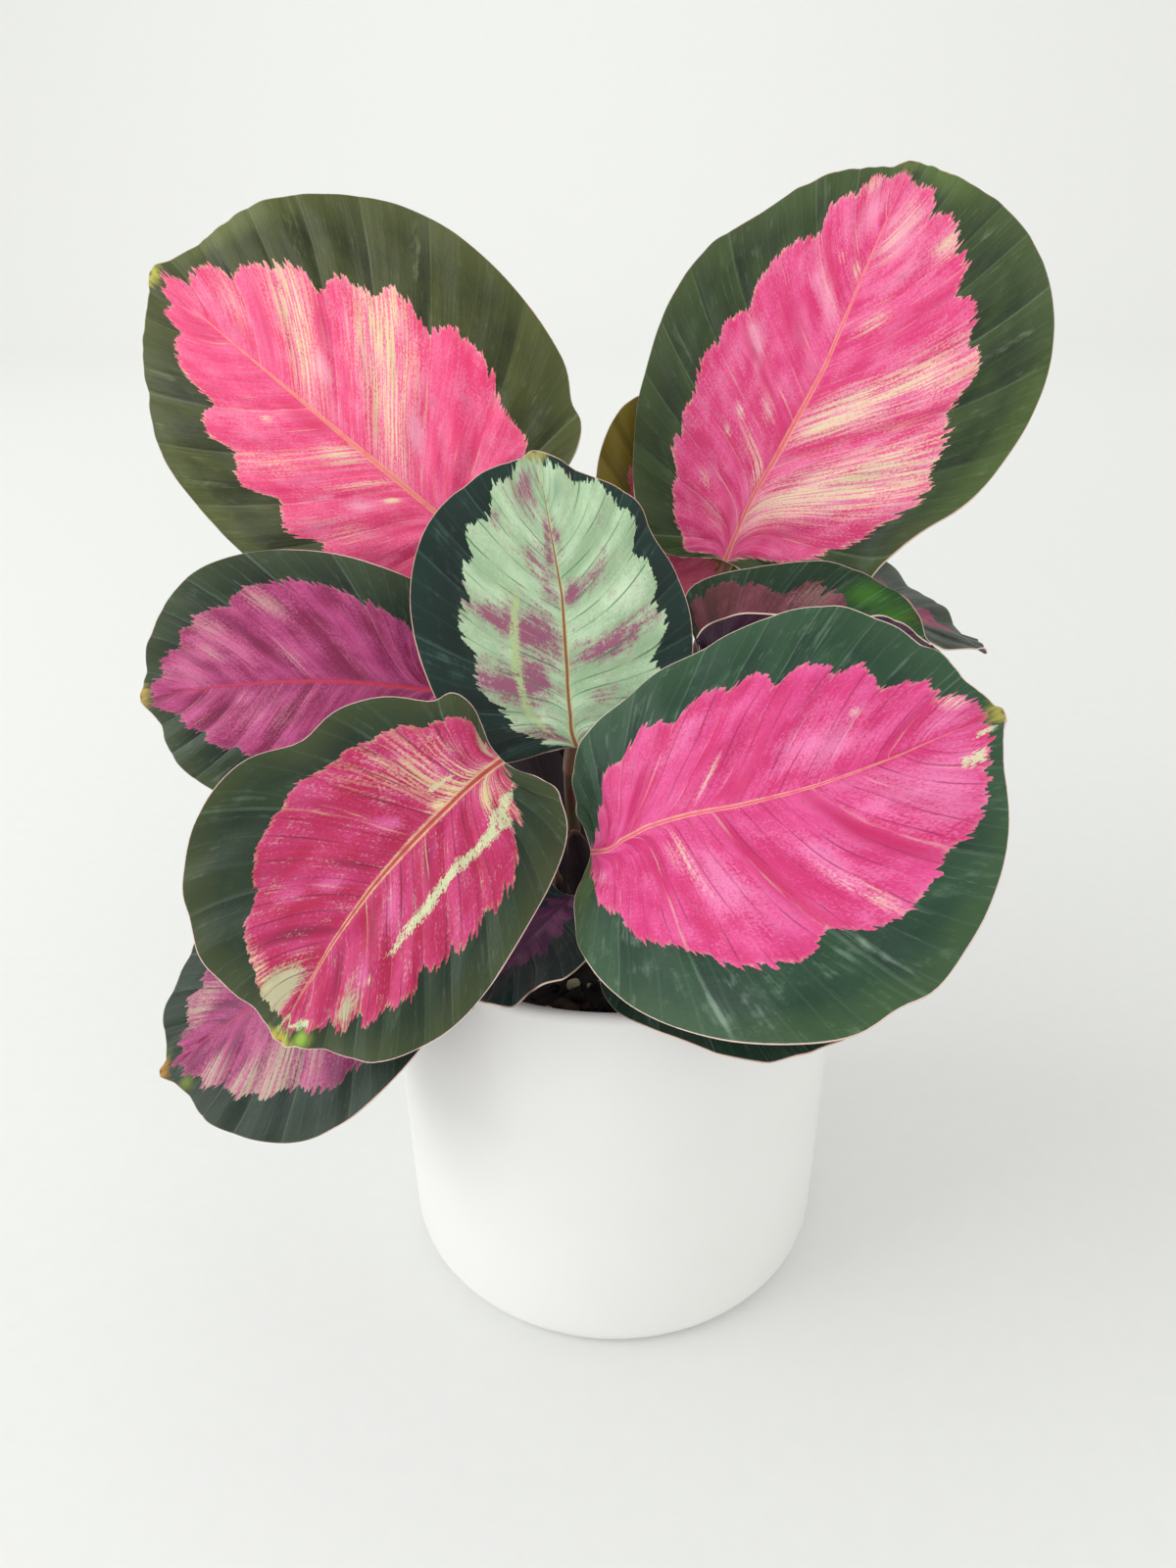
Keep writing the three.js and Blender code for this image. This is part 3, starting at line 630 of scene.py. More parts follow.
for name, leaf in LEAVES.items():
    path, length = stalk_path(leaf)
    share = np.linspace(0, 1, STALK_RINGS)
    from_end = (1 - share) * length
    radius = SHEATH_RADIUS + (STEM_RADIUS - SHEATH_RADIUS) * smooth(share, 0, 0.4)
    joint = smooth(JOINT_LENGTH + 4 - from_end, 0, 2.5)
    radius = radius + (JOINT_RADIUS - radius) * joint
    radius = radius * (1 - 0.55 * smooth(4.2 - from_end, 0, 4.2))
    line = bpy.data.curves.new("leafstalk_line", "CURVE")
    line.dimensions = "3D"
    spline = line.splines.new("POLY")
    spline.points.add(STALK_RINGS - 1)
    for point, where, size in zip(spline.points, path, radius):
        point.co = (*(where * MM), 1)
        point.radius = size
    line.bevel_depth = MM
    line.bevel_resolution = 5
    line.use_fill_caps = True
    stalk = bpy.data.objects.new("leafstalk_" + name, line)
    bpy.context.collection.objects.link(stalk)
    only(stalk)
    bpy.ops.object.convert(target="MESH")
    stalk = bpy.context.object
    stalk.name = stalk.data.name = "leafstalk_" + name
    bpy.ops.object.mode_set(mode="EDIT")
    bpy.ops.mesh.select_all(action="SELECT")
    bpy.ops.mesh.remove_doubles(threshold=1e-6)
    bpy.ops.mesh.normals_make_consistent(inside=False)
    bpy.ops.object.mode_set(mode="OBJECT")
    bpy.ops.object.shade_smooth_by_angle(angle=math.radians(50))
    spots = np.array([v.co for v in stalk.data.vertices]) / MM
    nearest = np.linalg.norm(spots[:, None] - path[None], axis=2).argmin(axis=1)
    out = spots - path[nearest]
    around = np.arctan2(out[:, 1], out[:, 0]) * 2
    stem = np.column_stack([share[nearest] * length, around, joint[nearest]])
    give_vectors(stalk.data, "stem", stem)
    stalk.data.materials.clear()
    stalk.data.materials.append(stem_skin)

    # The sheath: a sheet rolled round the foot of the stalk, open to one side, torn at its top.
    # The broad ones stand up in the middle of the plant as dark troughs that fill the deep shade there:
    # partly sheath, partly painted shade.
    sheath, u, w = grid_of("sheath", 40, 22)
    top, breadth = BROAD_SHADE_SHEATHS.get(name, (SHEATH_TOP, 0))
    reach = SHEATH_FOOT + (top - SHEATH_FOOT) * u * (1 - 0.35 * w * w)
    at = reach * (STALK_RINGS - 1)
    low = np.clip(at.astype(int), 0, STALK_RINGS - 2)
    part = (at - low)[:, None]
    middle = path[low] * (1 - part) + path[low + 1] * part
    tangent = path[low + 1] - path[low]
    tangent /= np.linalg.norm(tangent, axis=1)[:, None]
    side = np.cross(tangent, np.array([0, 1, 0.2]))
    side /= np.linalg.norm(side, axis=1)[:, None]
    front = np.cross(side, tangent)
    open_to = leaf["phase"] * 2
    turn = open_to + w * (2.5 - 1.1 * u ** 3)
    gap = 0.35 + 1.3 * smooth(np.abs(w), 0.6, 1) * u + 0.25 * np.sin(9 * w + 5 * u + open_to)
    size = np.interp(reach, share, radius) + gap
    aside, behind = size * np.cos(turn), size * np.sin(turn)
    dry = smooth(np.abs(w), 0.55, 1) + smooth(u, 0.75, 1)
    if breadth:
        half = 4 + (breadth - 4) * smooth(u, 0, 0.5) - 0.4 * breadth * smooth(u, 0.65, 1)
        ripple = 0.9 * np.sin(8 * u + 2 * w + open_to) * w * w
        aside = half * np.sin(1.25 * w)
        behind = half * (1 - np.cos(1.25 * w)) + ripple - np.interp(reach, share, radius) - 0.5
        dry = smooth(np.abs(w), 0.9, 1) + smooth(u, 0.95, 1)
    shape_to(sheath.data, middle + aside[:, None] * side + behind[:, None] * front)
    stem = np.column_stack([reach * length, turn * 3, np.clip(dry, 0, 1)])
    give_vectors(sheath.data, "stem", stem)
    wall = sheath.modifiers.new("wall", "SOLIDIFY")
    wall.thickness = SHEATH_WALL * MM
    only(sheath)
    bpy.ops.object.modifier_apply(modifier=wall.name)
    bpy.ops.object.shade_smooth_by_angle(angle=math.radians(50))
    sheath.data.materials.append(sheath_skin)
    only(stalk)
    sheath.select_set(True)
    bpy.ops.object.join()
    stand(stalk, "leaf_stalk", "stalk_" + name)


# ---- the leaf blades -----------------------------------------------------------------------
# Each blade is a living sheet about half a millimetre thick, pleated along its side veins, with
# a raised midrib below and a thin pale rim. Its face is green round a painted-looking pink or
# mint patch whose edge runs out in teeth along the veins; its back is burgundy.

LOBE = 0.55  # how far the base is hollowed out to the stalk, as a share of the leaf's length
TIP = 0.05  # how far the tip is drawn out, as a share of the length
TIP_TURN = 0.16  # how near to the tip, in radians of the outline's turn
TAPER = 0.3  # how much narrower the leaf is near its tip
TAPER_TURN = 0.3
BLUNTNESS = 0.9  # below 1 the outline is fuller at its two ends
VEIN_CROWDING = 1.35  # how much closer together the veins leave the midrib at the base
VEIN_START = 0.35  # a vein's slant where it leaves the midrib
VEIN_SPACING = 0.8  # how far apart the veins lie, as a share of their distance on the midrib
CURL_FROM = 0.6  # where on the way to the edge a curl begins
SECTION_STEPS = 14
BLADE_CELL = (1.05, 1.25)  # the mesh's cells, along the leaf and across it at the midrib
PLEAT_HEIGHT = 0.95
PLEAT_BULGE = 2.2  # how full a pleat's arch is
WAVES = 3.6
WAVE_HEIGHT = 1.5
BLADE_SKIN = 0.55
RIB_DEPTH = 1.5
RIB_SPREAD = 1.15  # how far from the midrib the raised rib falls away
TOOTH_MM = 1.15  # how wide a tooth of the patch is
SPECK_GAP = 17  # one small speck at most in each cell of this size
RIM_WANDER = 0.045  # how often the rim changes colour, in turns a millimetre

# Each leaf's painting, read off the photograph in the leaf's own measure: s runs from 0 at the
# stalk to 1 at the tip, t from 0 on the midrib to 1 at the rim. "patch" is the edge of the patch
# as (s, t) on the left and right half, and "pleats" is where the pleats cross it. A wash of a tone
# is (side, s, t, how wide along the leaf, how long along the veins, amount), a stroke is a side and
# a line of (s, t, half width), and a dent is (side, s, how wide, how deep). A side is 1 for left
# and -1 for right. What a leaf leaves out is taken from COMMON.
# Of the washes, pale ones are painted highlights, crease ones painted shade in the creases, sheen ones
# painted reflections and glow ones painted light shining through the leaf.
COMMON = dict(
    patch=(
        ((0, 0.6), (0.1, 0.62), (0.2, 0.66), (0.7, 0.68), (0.85, 0.72), (0.96, 0.5), (1, 0)),
    ) * 2,
    pleats=((0.15, 0.26, 0.37, 0.48, 0.6, 0.72, 0.84), (0.17, 0.28, 0.39, 0.51, 0.62, 0.74, 0.85)),
    scallop=4.0, lean=(0.45, 0.45), lean_fall=1.0, rib_path=((0, 0), (1, 0)), rib_width=1.0,
    teeth=(1.0, 1.0), quilt=1.1, dents=(), washes={}, strokes=(),
    pale="#EE8FB4", stain="#9A3A70", crease="#A0205A", line="#96244F", rib="#D0485C",
    rib_edge="#EDB79A", glow="#7C9A3A", sheen="#8FA89F", stroke="#DDE3AE", rim="#E6C4B6",
    tip="#8E9440", line_pitch=4.0, line_share=0.5, streak_share=0.2, cream_base=0.0,
    pale_base=0.1, stain_base=-0.4, fringe=0.35, sheen_share=0.16, rim_share=0.7, edge_share=0.5,
)

LOOKS = {
    # Stands lit from behind: its border is olive partly from painted light shining through the leaf,
    # over its own dark green.
    "back_left": dict(
        patch=(
            ((0, 0.5), (0.1, 0.66), (0.18, 0.7), (0.25, 0.64), (0.3, 0.68), (0.345, 0.63),
             (0.38, 0.69), (0.43, 0.59), (0.48, 0.68), (0.545, 0.61), (0.58, 0.67), (0.63, 0.66),
             (0.65, 0.57), (0.7, 0.64), (0.8, 0.7), (0.83, 0.64), (0.88, 0.73), (0.91, 0.64),
             (0.96, 0.6), (0.985, 0.35), (1, 0)),
            ((0, 0.5), (0.1, 0.72), (0.17, 0.73), (0.22, 0.69), (0.28, 0.7), (0.35, 0.68),
             (0.38, 0.62), (0.45, 0.67), (0.48, 0.62), (0.55, 0.64), (0.575, 0.57), (0.61, 0.65),
             (0.67, 0.71), (0.76, 0.66), (0.81, 0.77), (0.87, 0.75), (0.93, 0.78), (0.96, 0.7),
             (0.985, 0.35), (1, 0)),
        ),
        pleats=((0.14, 0.25, 0.345, 0.43, 0.545, 0.65, 0.83, 0.91),
                (0.13, 0.25, 0.38, 0.48, 0.575, 0.665, 0.76, 0.88)),
        lean=(0.54, 0.5), scallop=2.6, teeth=(0.8, 1.1),
        dents=((1, 0.97, 0.04, 0.12), (1, 0.68, 0.07, 0.03), (-1, 0.22, 0.02, 0.05),
               (-1, 0.93, 0.03, 0.06)),
        washes=dict(
            cream=((-1, 0.43, 0.44, 0.07, 0.34, 0.85), (-1, 0.63, 0.48, 0.05, 0.32, 0.75),
                   (-1, 0.56, 0.16, 0.05, 0.18, 0.3), (-1, 0.78, 0.5, 0.04, 0.26, 0.25),
                   (-1, 0.3, 0.12, 0.03, 0.12, 0.3), (1, 0.49, 0.46, 0.035, 0.2, 0.42),
                   (1, 0.4, 0.1, 0.035, 0.1, 0.55), (1, 0.33, 0.16, 0.015, 0.15, 0.45),
                   (1, 0.33, 0.5, 0.05, 0.14, 0.2), (1, 0.57, 0.27, 0.01, 0.03, 0.9),
                   (1, 0.255, 0.13, 0.008, 0.03, 1.0)),
            pale=((-1, 0.3, 0.25, 0.022, 0.08, 0.9), (-1, 0.53, 0.21, 0.022, 0.06, 0.9),
                  (1, 0.31, 0.28, 0.02, 0.05, 0.8), (1, 0.37, 0.36, 0.008, 0.05, 0.8),
                  (1, 0.6, 0.45, 0.04, 0.2, 0.3), (-1, 0.85, 0.4, 0.08, 0.3, 0.35)),
            crease=((1, 0.49, 0.07, 0.03, 0.07, 0.9), (-1, 0.56, 0.42, 0.018, 0.16, 0.7),
                    (1, 0.84, 0.3, 0.06, 0.25, 0.5), (-1, 0.7, 0.4, 0.015, 0.3, 0.6),
                    (1, 0.18, 0.5, 0.03, 0.25, 0.8), (1, 0.68, 0.5, 0.02, 0.16, 0.5),
                    (-1, 0.47, 0.22, 0.015, 0.08, 0.6), (1, 0.56, 0.08, 0.05, 0.06, 0.5)),
            glow=((1, 0.45, 0.93, 0.3, 0.1, 0.25), (-1, 0.75, 0.97, 0.2, 0.1, 0.45)),
            sheen=((1, 0.5, 0.84, 0.009, 0.12, 0.9), (1, 0.72, 0.86, 0.009, 0.13, 0.8),
                   (-1, 0.43, 0.83, 0.008, 0.14, 0.7), (-1, 0.62, 0.8, 0.008, 0.16, 0.7),
                   (-1, 0.78, 0.84, 0.008, 0.12, 0.6)),
        ),
        deep="#EA3A74", light="#F75C90", pale="#FA9ABA", cream="#EEDFA8", crease="#DC2A62",
        line="#C73A6C", rib="#F08070", rib_edge="#F2A98C", border_deep="#262E12",
        border_light="#4C5220", edge="#5E6634", glow="#7F8A44", sheen="#8A9670", tip="#C2BE4E",
        line_share=0.14, streak_share=0.3, cream_base=0.12, sheen_share=0.1, rim_share=0.45,
        fringe=0.5,
    ),
    # Stands lit from behind: its border is olive partly from painted light shining through the leaf,
    # over its own dark green.
    "back_right": dict(
        patch=(
            ((0, 0.85), (0.1, 0.88), (0.15, 0.78), (0.2, 0.74), (0.27, 0.73), (0.34, 0.66),
             (0.4, 0.66), (0.47, 0.62), (0.5, 0.6), (0.56, 0.65), (0.62, 0.68), (0.69, 0.66),
             (0.71, 0.66), (0.74, 0.75), (0.78, 0.75), (0.82, 0.82), (0.87, 0.87), (0.92, 0.82),
             (0.97, 0.6), (1, 0.1)),
            ((0, 0.6), (0.15, 0.7), (0.27, 0.76), (0.33, 0.8), (0.38, 0.7), (0.43, 0.66),
             (0.5, 0.7), (0.56, 0.66), (0.59, 0.69), (0.625, 0.62), (0.68, 0.7), (0.75, 0.73),
             (0.8, 0.7), (0.85, 0.75), (0.9, 0.73), (0.95, 0.6), (1, 0.1)),
        ),
        pleats=((0.1, 0.22, 0.29, 0.35, 0.43, 0.51, 0.7, 0.8),
                (0.2, 0.33, 0.43, 0.53, 0.625, 0.7, 0.8, 0.9)),
        lean=(0.5, 0.54), scallop=2.6, teeth=(0.8, 1.1), quilt=1.4,
        rib_path=((0, 0.1), (0.15, 0.05), (0.25, 0), (0.5, -0.03), (1, 0)),
        dents=((-1, 0.95, 0.045, 0.22), (-1, 0.8, 0.015, 0.03), (1, 0.55, 0.2, 0.03)),
        washes=dict(
            cream=((-1, 0.2, 0.28, 0.09, 0.34, 0.6), (-1, 0.31, 0.5, 0.08, 0.34, 0.6),
                   (-1, 0.4, 0.2, 0.05, 0.16, 0.6), (-1, 0.47, 0.45, 0.06, 0.36, 0.6),
                   (-1, 0.6, 0.18, 0.02, 0.08, 0.5), (-1, 0.72, 0.64, 0.03, 0.1, 0.6),
                   (-1, 0.83, 0.5, 0.05, 0.16, 0.35), (-1, 0.8, 0.22, 0.05, 0.14, 0.35),
                   (1, 0.22, 0.08, 0.03, 0.05, 0.55), (1, 0.28, 0.2, 0.03, 0.1, 0.3),
                   (1, 0.36, 0.18, 0.02, 0.05, 0.5), (1, 0.73, 0.09, 0.02, 0.05, 0.5),
                   (1, 0.72, 0.3, 0.015, 0.05, 0.35), (1, 0.85, 0.8, 0.05, 0.1, 0.4),
                   (1, 0.34, 0.34, 0.008, 0.03, 0.9), (1, 0.3, 0.38, 0.008, 0.02, 0.9),
                   (1, 0.22, 0.5, 0.012, 0.04, 0.6), (1, 0.12, 0.4, 0.04, 0.1, 0.25)),
            pale=((1, 0.47, 0.44, 0.02, 0.08, 1.0), (1, 0.43, 0.35, 0.01, 0.03, 1.2),
                  (1, 0.64, 0.25, 0.03, 0.2, 0.7), (-1, 0.83, 0.35, 0.1, 0.25, 0.5),
                  (1, 0.85, 0.45, 0.1, 0.3, 0.45), (-1, 0.7, 0.35, 0.03, 0.2, 0.3)),
            crease=((1, 0.42, 0.3, 0.013, 0.28, 0.8), (1, 0.55, 0.35, 0.04, 0.2, 0.5),
                    (1, 0.69, 0.35, 0.016, 0.28, 0.8), (-1, 0.33, 0.2, 0.014, 0.14, 0.9),
                    (-1, 0.42, 0.55, 0.014, 0.14, 0.9), (-1, 0.62, 0.5, 0.03, 0.2, 0.6),
                    (1, 0.14, 0.25, 0.04, 0.1, 0.6), (-1, 0.13, 0.4, 0.03, 0.2, 0.7),
                    (-1, 0.55, 0.25, 0.02, 0.15, 0.4), (1, 0.3, 0.02, 0.14, 0.05, 0.5)),
            glow=((-1, 0.85, 0.97, 0.12, 0.16, 0.6), (-1, 0.4, 0.97, 0.15, 0.12, 0.35),
                  (1, 0.9, 0.95, 0.1, 0.15, 0.3)),
            sheen=((1, 0.4, 0.85, 0.009, 0.12, 0.5), (1, 0.74, 0.88, 0.009, 0.1, 0.7),
                   (-1, 0.52, 0.86, 0.008, 0.13, 0.7), (-1, 0.7, 0.85, 0.008, 0.13, 0.6),
                   (1, 0.58, 0.8, 0.02, 0.06, 0.4)),
        ),
        deep="#DC3474", light="#EE5C96", pale="#F6A0BE", cream="#F0E2B4", crease="#CE2462",
        line="#B93468", rib="#EC6470", rib_edge="#F2AC90", border_deep="#1E2C18",
        border_light="#42562C", edge="#56663A", glow="#647E38", sheen="#8A9C7C", tip="#5E6E34",
        line_share=0.3, streak_share=0.22, cream_base=0.1, rim_share=0.4, fringe=0.45,
    ),
    "centre": dict(
        patch=(
            ((0, 0.6), (0.05, 0.66), (0.1, 0.62), (0.2, 0.63), (0.3, 0.66), (0.45, 0.67), (0.5, 0.68),
             (0.55, 0.71), (0.6, 0.75), (0.65, 0.71), (0.7, 0.75), (0.75, 0.8), (0.8, 0.86),
             (0.85, 0.94), (0.9, 1), (1, 1)),
            ((0, 0.5), (0.1, 0.6), (0.2, 0.68), (0.3, 0.74), (0.4, 0.78), (0.5, 0.8), (0.58, 0.86),
             (0.7, 0.92), (0.78, 0.92), (0.84, 0.85), (0.88, 0.78), (0.93, 0.85), (1, 1)),
        ),
        pleats=((0.1, 0.21, 0.31, 0.45, 0.53, 0.65, 0.8), (0.15, 0.31, 0.40, 0.52, 0.62, 0.78)),
        lean=(0.28, 0.22), lean_fall=0.4, scallop=3.0,
        rib_path=((0, 0.16), (0.05, 0.13), (0.1, 0.07), (0.25, 0.03), (0.5, 0), (0.8, 0.02), (1, 0)),
        dents=((-1, 0.53, 0.06, 0.06),),
        washes=dict(
            stain=((1, 0.25, 0.5, 0.055, 0.22, 1.2), (1, 0.4, 0.45, 0.035, 0.26, 1.0),
                   (1, 0.25, 0.24, 0.06, 0.14, 1.1), (1, 0.37, 0.16, 0.065, 0.2, 1.2),
                   (1, 0.1, 0.46, 0.05, 0.16, 0.95), (1, 0.83, 0.55, 0.1, 0.3, 0.85),
                   (1, 0.92, 0.25, 0.05, 0.2, 0.5), (1, 0.67, 0.06, 0.13, 0.06, 0.85),
                   (-1, 0.7, 0.07, 0.1, 0.07, 0.85), (-1, 0.5, 0.08, 0.04, 0.07, 0.6),
                   (-1, 0.33, 0.34, 0.04, 0.42, 1.15), (-1, 0.52, 0.25, 0.035, 0.28, 0.75),
                   (-1, 0.2, 0.37, 0.05, 0.14, 0.4), (-1, 0.2, 0.7, 0.04, 0.12, 0.45),
                   (1, 0.6, 0.25, 0.06, 0.12, 0.55), (1, 0.68, 0.65, 0.03, 0.06, 0.5),
                   (1, 0.5, 0.1, 0.05, 0.08, 0.5), (-1, 0.05, 0.4, 0.04, 0.3, 0.3),
                   (1, 0.02, 0.3, 0.03, 0.3, 0.5), (-1, 0.66, 0.66, 0.015, 0.2, 0.3)),
            crease=((-1, 0.84, 0.5, 0.035, 0.25, 0.7), (-1, 0.62, 0.35, 0.02, 0.3, 0.35),
                    (1, 0.48, 0.3, 0.02, 0.2, 0.3)),
            cream=((1, 0.95, 0.1, 0.05, 0.2, 0.9), (-1, 0.95, 0.1, 0.05, 0.2, 0.9)),
            pale=((1, 0.7, 0.35, 0.06, 0.2, 0.4), (-1, 0.45, 0.55, 0.04, 0.25, 0.6),
                  (1, 0.15, 0.3, 0.05, 0.2, 0.4)),
            sheen=((1, 0.33, 0.84, 0.015, 0.1, 0.5), (1, 0.55, 0.88, 0.012, 0.1, 0.4)),
        ),
        strokes=(
            (1, (0.04, 0.42, 0.035), (0.1, 0.44, 0.04), (0.2, 0.42, 0.04), (0.3, 0.37, 0.045),
             (0.4, 0.33, 0.035), (0.5, 0.32, 0.015)),
            (1, (0.42, 0.36, 0.008), (0.55, 0.42, 0.009), (0.65, 0.5, 0.009), (0.73, 0.64, 0.008)),
        ),
        deep="#A2C29A", light="#C2DFB8", pale="#DFF0D2", cream="#D6E0A0", stain="#982F6C",
        crease="#7E9C84", line="#4F7F56", rib="#8E4034", rib_edge="#CFC98A", border_deep="#0A1C19",
        border_light="#15332A", edge="#1F463E", glow="#35615C", sheen="#6E8C86", stroke="#B7CC92",
        rim="#E9BFAE", tip="#A9A45A", line_share=0.9, streak_share=0.1, fringe=0.1, rim_share=0.95,
        edge_share=0.25, sheen_share=0.2,
    ),
    "left": dict(
        patch=(
            ((0, 0.5), (0.3, 0.62), (0.6, 0.62), (0.63, 0.67), (0.7, 0.66), (0.8, 0.67), (0.85, 0.72),
             (0.9, 0.76), (0.93, 0.8), (0.97, 0.6), (1, 0.1)),
            ((0, 0.5), (0.2, 0.66), (0.42, 0.78), (0.5, 0.74), (0.55, 0.69), (0.6, 0.72), (0.65, 0.76),
             (0.7, 0.74), (0.73, 0.69), (0.8, 0.77), (0.9, 0.79), (0.96, 0.6), (1, 0.1)),
        ),
        pleats=((0.16, 0.3, 0.42, 0.53, 0.62, 0.72, 0.83), (0.15, 0.27, 0.4, 0.54, 0.66, 0.74, 0.86)),
        rib_path=((0, 0), (0.3, -0.03), (0.7, -0.03), (1, 0)), scallop=2.4, teeth=(0.8, 0.8),
        dents=((1, 0.73, 0.08, 0.05), (-1, 0.96, 0.04, 0.08)),
        washes=dict(
            cream=((-1, 0.46, 0.62, 0.05, 0.16, 0.6), (-1, 0.45, 0.2, 0.03, 0.12, 0.6),
                   (-1, 0.63, 0.62, 0.05, 0.16, 0.6), (-1, 0.68, 0.4, 0.02, 0.14, 0.6),
                   (1, 0.5, 0.3, 0.05, 0.2, 0.3), (1, 0.75, 0.5, 0.06, 0.2, 0.25),
                   (-1, 0.85, 0.65, 0.06, 0.14, 0.35), (1, 0.65, 0.15, 0.04, 0.12, 0.3)),
            pale=((1, 0.6, 0.3, 0.05, 0.2, 0.5), (-1, 0.6, 0.3, 0.04, 0.2, 0.5),
                  (-1, 0.8, 0.3, 0.05, 0.3, 0.7), (-1, 0.72, 0.5, 0.12, 0.2, 0.5)),
            crease=((1, 0.7, 0.35, 0.02, 0.3, 0.7), (1, 0.2, 0.3, 0.2, 0.4, 0.5),
                    (-1, 0.54, 0.4, 0.02, 0.3, 0.7), (-1, 0.74, 0.4, 0.018, 0.3, 0.6)),
            glow=((1, 0.5, 0.95, 0.3, 0.12, 0.3),),
            sheen=((1, 0.6, 0.85, 0.012, 0.1, 0.5), (-1, 0.6, 0.88, 0.012, 0.1, 0.5)),
        ),
        deep="#8E2252", light="#C04684", pale="#DC78A2", cream="#C8A898", crease="#6E183E",
        line="#6E1D4A", rib="#D8364A", rib_edge="#B43A68", border_deep="#0A1C14",
        border_light="#36482C", edge="#4E5838", glow="#5E7040", tip="#B59A4A", streak_share=0.06,
        rim_share=0.5,
    ),
    "front_left": dict(
        patch=(
            ((0, 0.6), (0.1, 0.6), (0.13, 0.56), (0.17, 0.6), (0.22, 0.67), (0.26, 0.72), (0.33, 0.74),
             (0.4, 0.7), (0.5, 0.64), (0.55, 0.7), (0.63, 0.72), (0.7, 0.72), (0.8, 0.7), (0.9, 0.69),
             (0.96, 0.5), (1, 0.2)),
            ((0, 0.8), (0.05, 0.87), (0.1, 0.85), (0.2, 0.81), (0.25, 0.77), (0.3, 0.74), (0.35, 0.74),
             (0.4, 0.7), (0.5, 0.65), (0.58, 0.63), (0.65, 0.64), (0.7, 0.68), (0.75, 0.7),
             (0.84, 0.8), (0.9, 0.7), (0.96, 0.5), (1, 0.2)),
        ),
        pleats=((0.15, 0.22, 0.34, 0.43, 0.5, 0.6, 0.68, 0.78), (0.16, 0.27, 0.44, 0.61, 0.78)),
        lean=(0.42, 0.24), lean_fall=0.5, scallop=2.8, rib_width=1.35,
        teeth=(1.15, 0.5), quilt=1.7,
        rib_path=((0, -0.02), (0.2, 0.02), (0.5, 0.02), (0.7, 0.04), (0.8, 0.08), (1, 0)),
        dents=((-1, 0.22, 0.03, 0.15), (-1, 0.35, 0.03, 0.1), (1, 0.16, 0.03, 0.08),
               (-1, 0.8, 0.12, 0.04)),
        washes=dict(
            cream=((-1, 0.09, 0.16, 0.06, 0.12, 1.3), (-1, 0.19, 0.06, 0.06, 0.06, 1.1),
                   (1, 0.095, 0.2, 0.04, 0.14, 1.1), (1, 0.15, 0.32, 0.025, 0.09, 1.0),
                   (1, 0.07, 0.62, 0.035, 0.2, 1.0), (1, 0.63, 0.465, 0.014, 0.03, 0.9),
                   (1, 0.13, 0.5, 0.04, 0.2, 0.7), (-1, 0.22, 0.42, 0.12, 0.34, 0.6),
                   (-1, 0.78, 0.68, 0.08, 0.1, 0.7), (1, 0.86, 0.66, 0.05, 0.1, 0.5)),
            stain=((1, 0.72, 0.6, 0.05, 0.14, 1.1), (-1, 0.06, 0.7, 0.03, 0.2, 0.9),
                   (-1, 0.84, 0.4, 0.055, 0.26, 2.1), (-1, 0.86, 0.66, 0.055, 0.22, 2.1)),
            crease=((-1, 0.69, 0.3, 0.022, 0.32, 1.1), (-1, 0.48, 0.18, 0.014, 0.12, 0.8),
                    (1, 0.36, 0.2, 0.018, 0.17, 0.8), (1, 0.56, 0.18, 0.018, 0.14, 0.7),
                    (1, 0.72, 0.3, 0.02, 0.2, 0.8), (1, 0.62, 0.45, 0.015, 0.12, 0.6),
                    (-1, 0.4, 0.5, 0.02, 0.2, 0.4), (-1, 0.56, 0.55, 0.02, 0.15, 0.4)),
            pale=((-1, 0.345, 0.18, 0.028, 0.08, 1.0), (-1, 0.545, 0.21, 0.022, 0.07, 1.0),
                  (1, 0.485, 0.2, 0.035, 0.1, 0.9), (1, 0.64, 0.4, 0.025, 0.1, 0.9),
                  (-1, 0.6, 0.4, 0.025, 0.15, 0.5), (1, 0.4, 0.6, 0.03, 0.08, 0.4)),
            glow=((1, 0.875, 0.87, 0.05, 0.14, 1.2), (1, 0.95, 0.8, 0.03, 0.2, 1.0)),
            sheen=((1, 0.4, 0.86, 0.012, 0.08, 0.4), (-1, 0.45, 0.86, 0.012, 0.1, 0.4)),
        ),
        strokes=(
            (1, (0.09, 0.62, 0.03), (0.15, 0.52, 0.07), (0.2, 0.49, 0.095), (0.25, 0.45, 0.055),
             (0.31, 0.38, 0.045), (0.36, 0.36, 0.04), (0.42, 0.37, 0.04), (0.48, 0.375, 0.035),
             (0.55, 0.40, 0.022), (0.59, 0.42, 0.0)),
            (-1, (0.16, 0.25, 0.02), (0.22, 0.25, 0.035)),
            (1, (0.85, 0.62, 0.06), (0.89, 0.62, 0.12), (0.94, 0.5, 0.14)),
            (1, (0.95, 0.1, 0.1), (0.955, 0.7, 0.08)), (-1, (0.95, 0.1, 0.1), (0.955, 0.7, 0.08)),
        ),
        deep="#B5204F", light="#CA3C74", pale="#DC629C", cream="#EADCA2", stain="#BFC49C",
        crease="#8E1644", line="#7E1A3C", rib="#B5343C", rib_edge="#F0CB9C", border_deep="#18291E",
        border_light="#2E4226", edge="#555C32", glow="#94B63C", stroke="#D3DFB0", rim="#F0D0C8",
        tip="#C8BC50", line_pitch=4.2, line_share=0.8, streak_share=0.1, fringe=0.3,
        rim_share=0.9, sheen="#7E9484",
    ),
    "front_right": dict(
        patch=(
            ((0, 0.66), (0.05, 0.62), (0.08, 0.56), (0.16, 0.58), (0.2, 0.68), (0.24, 0.67),
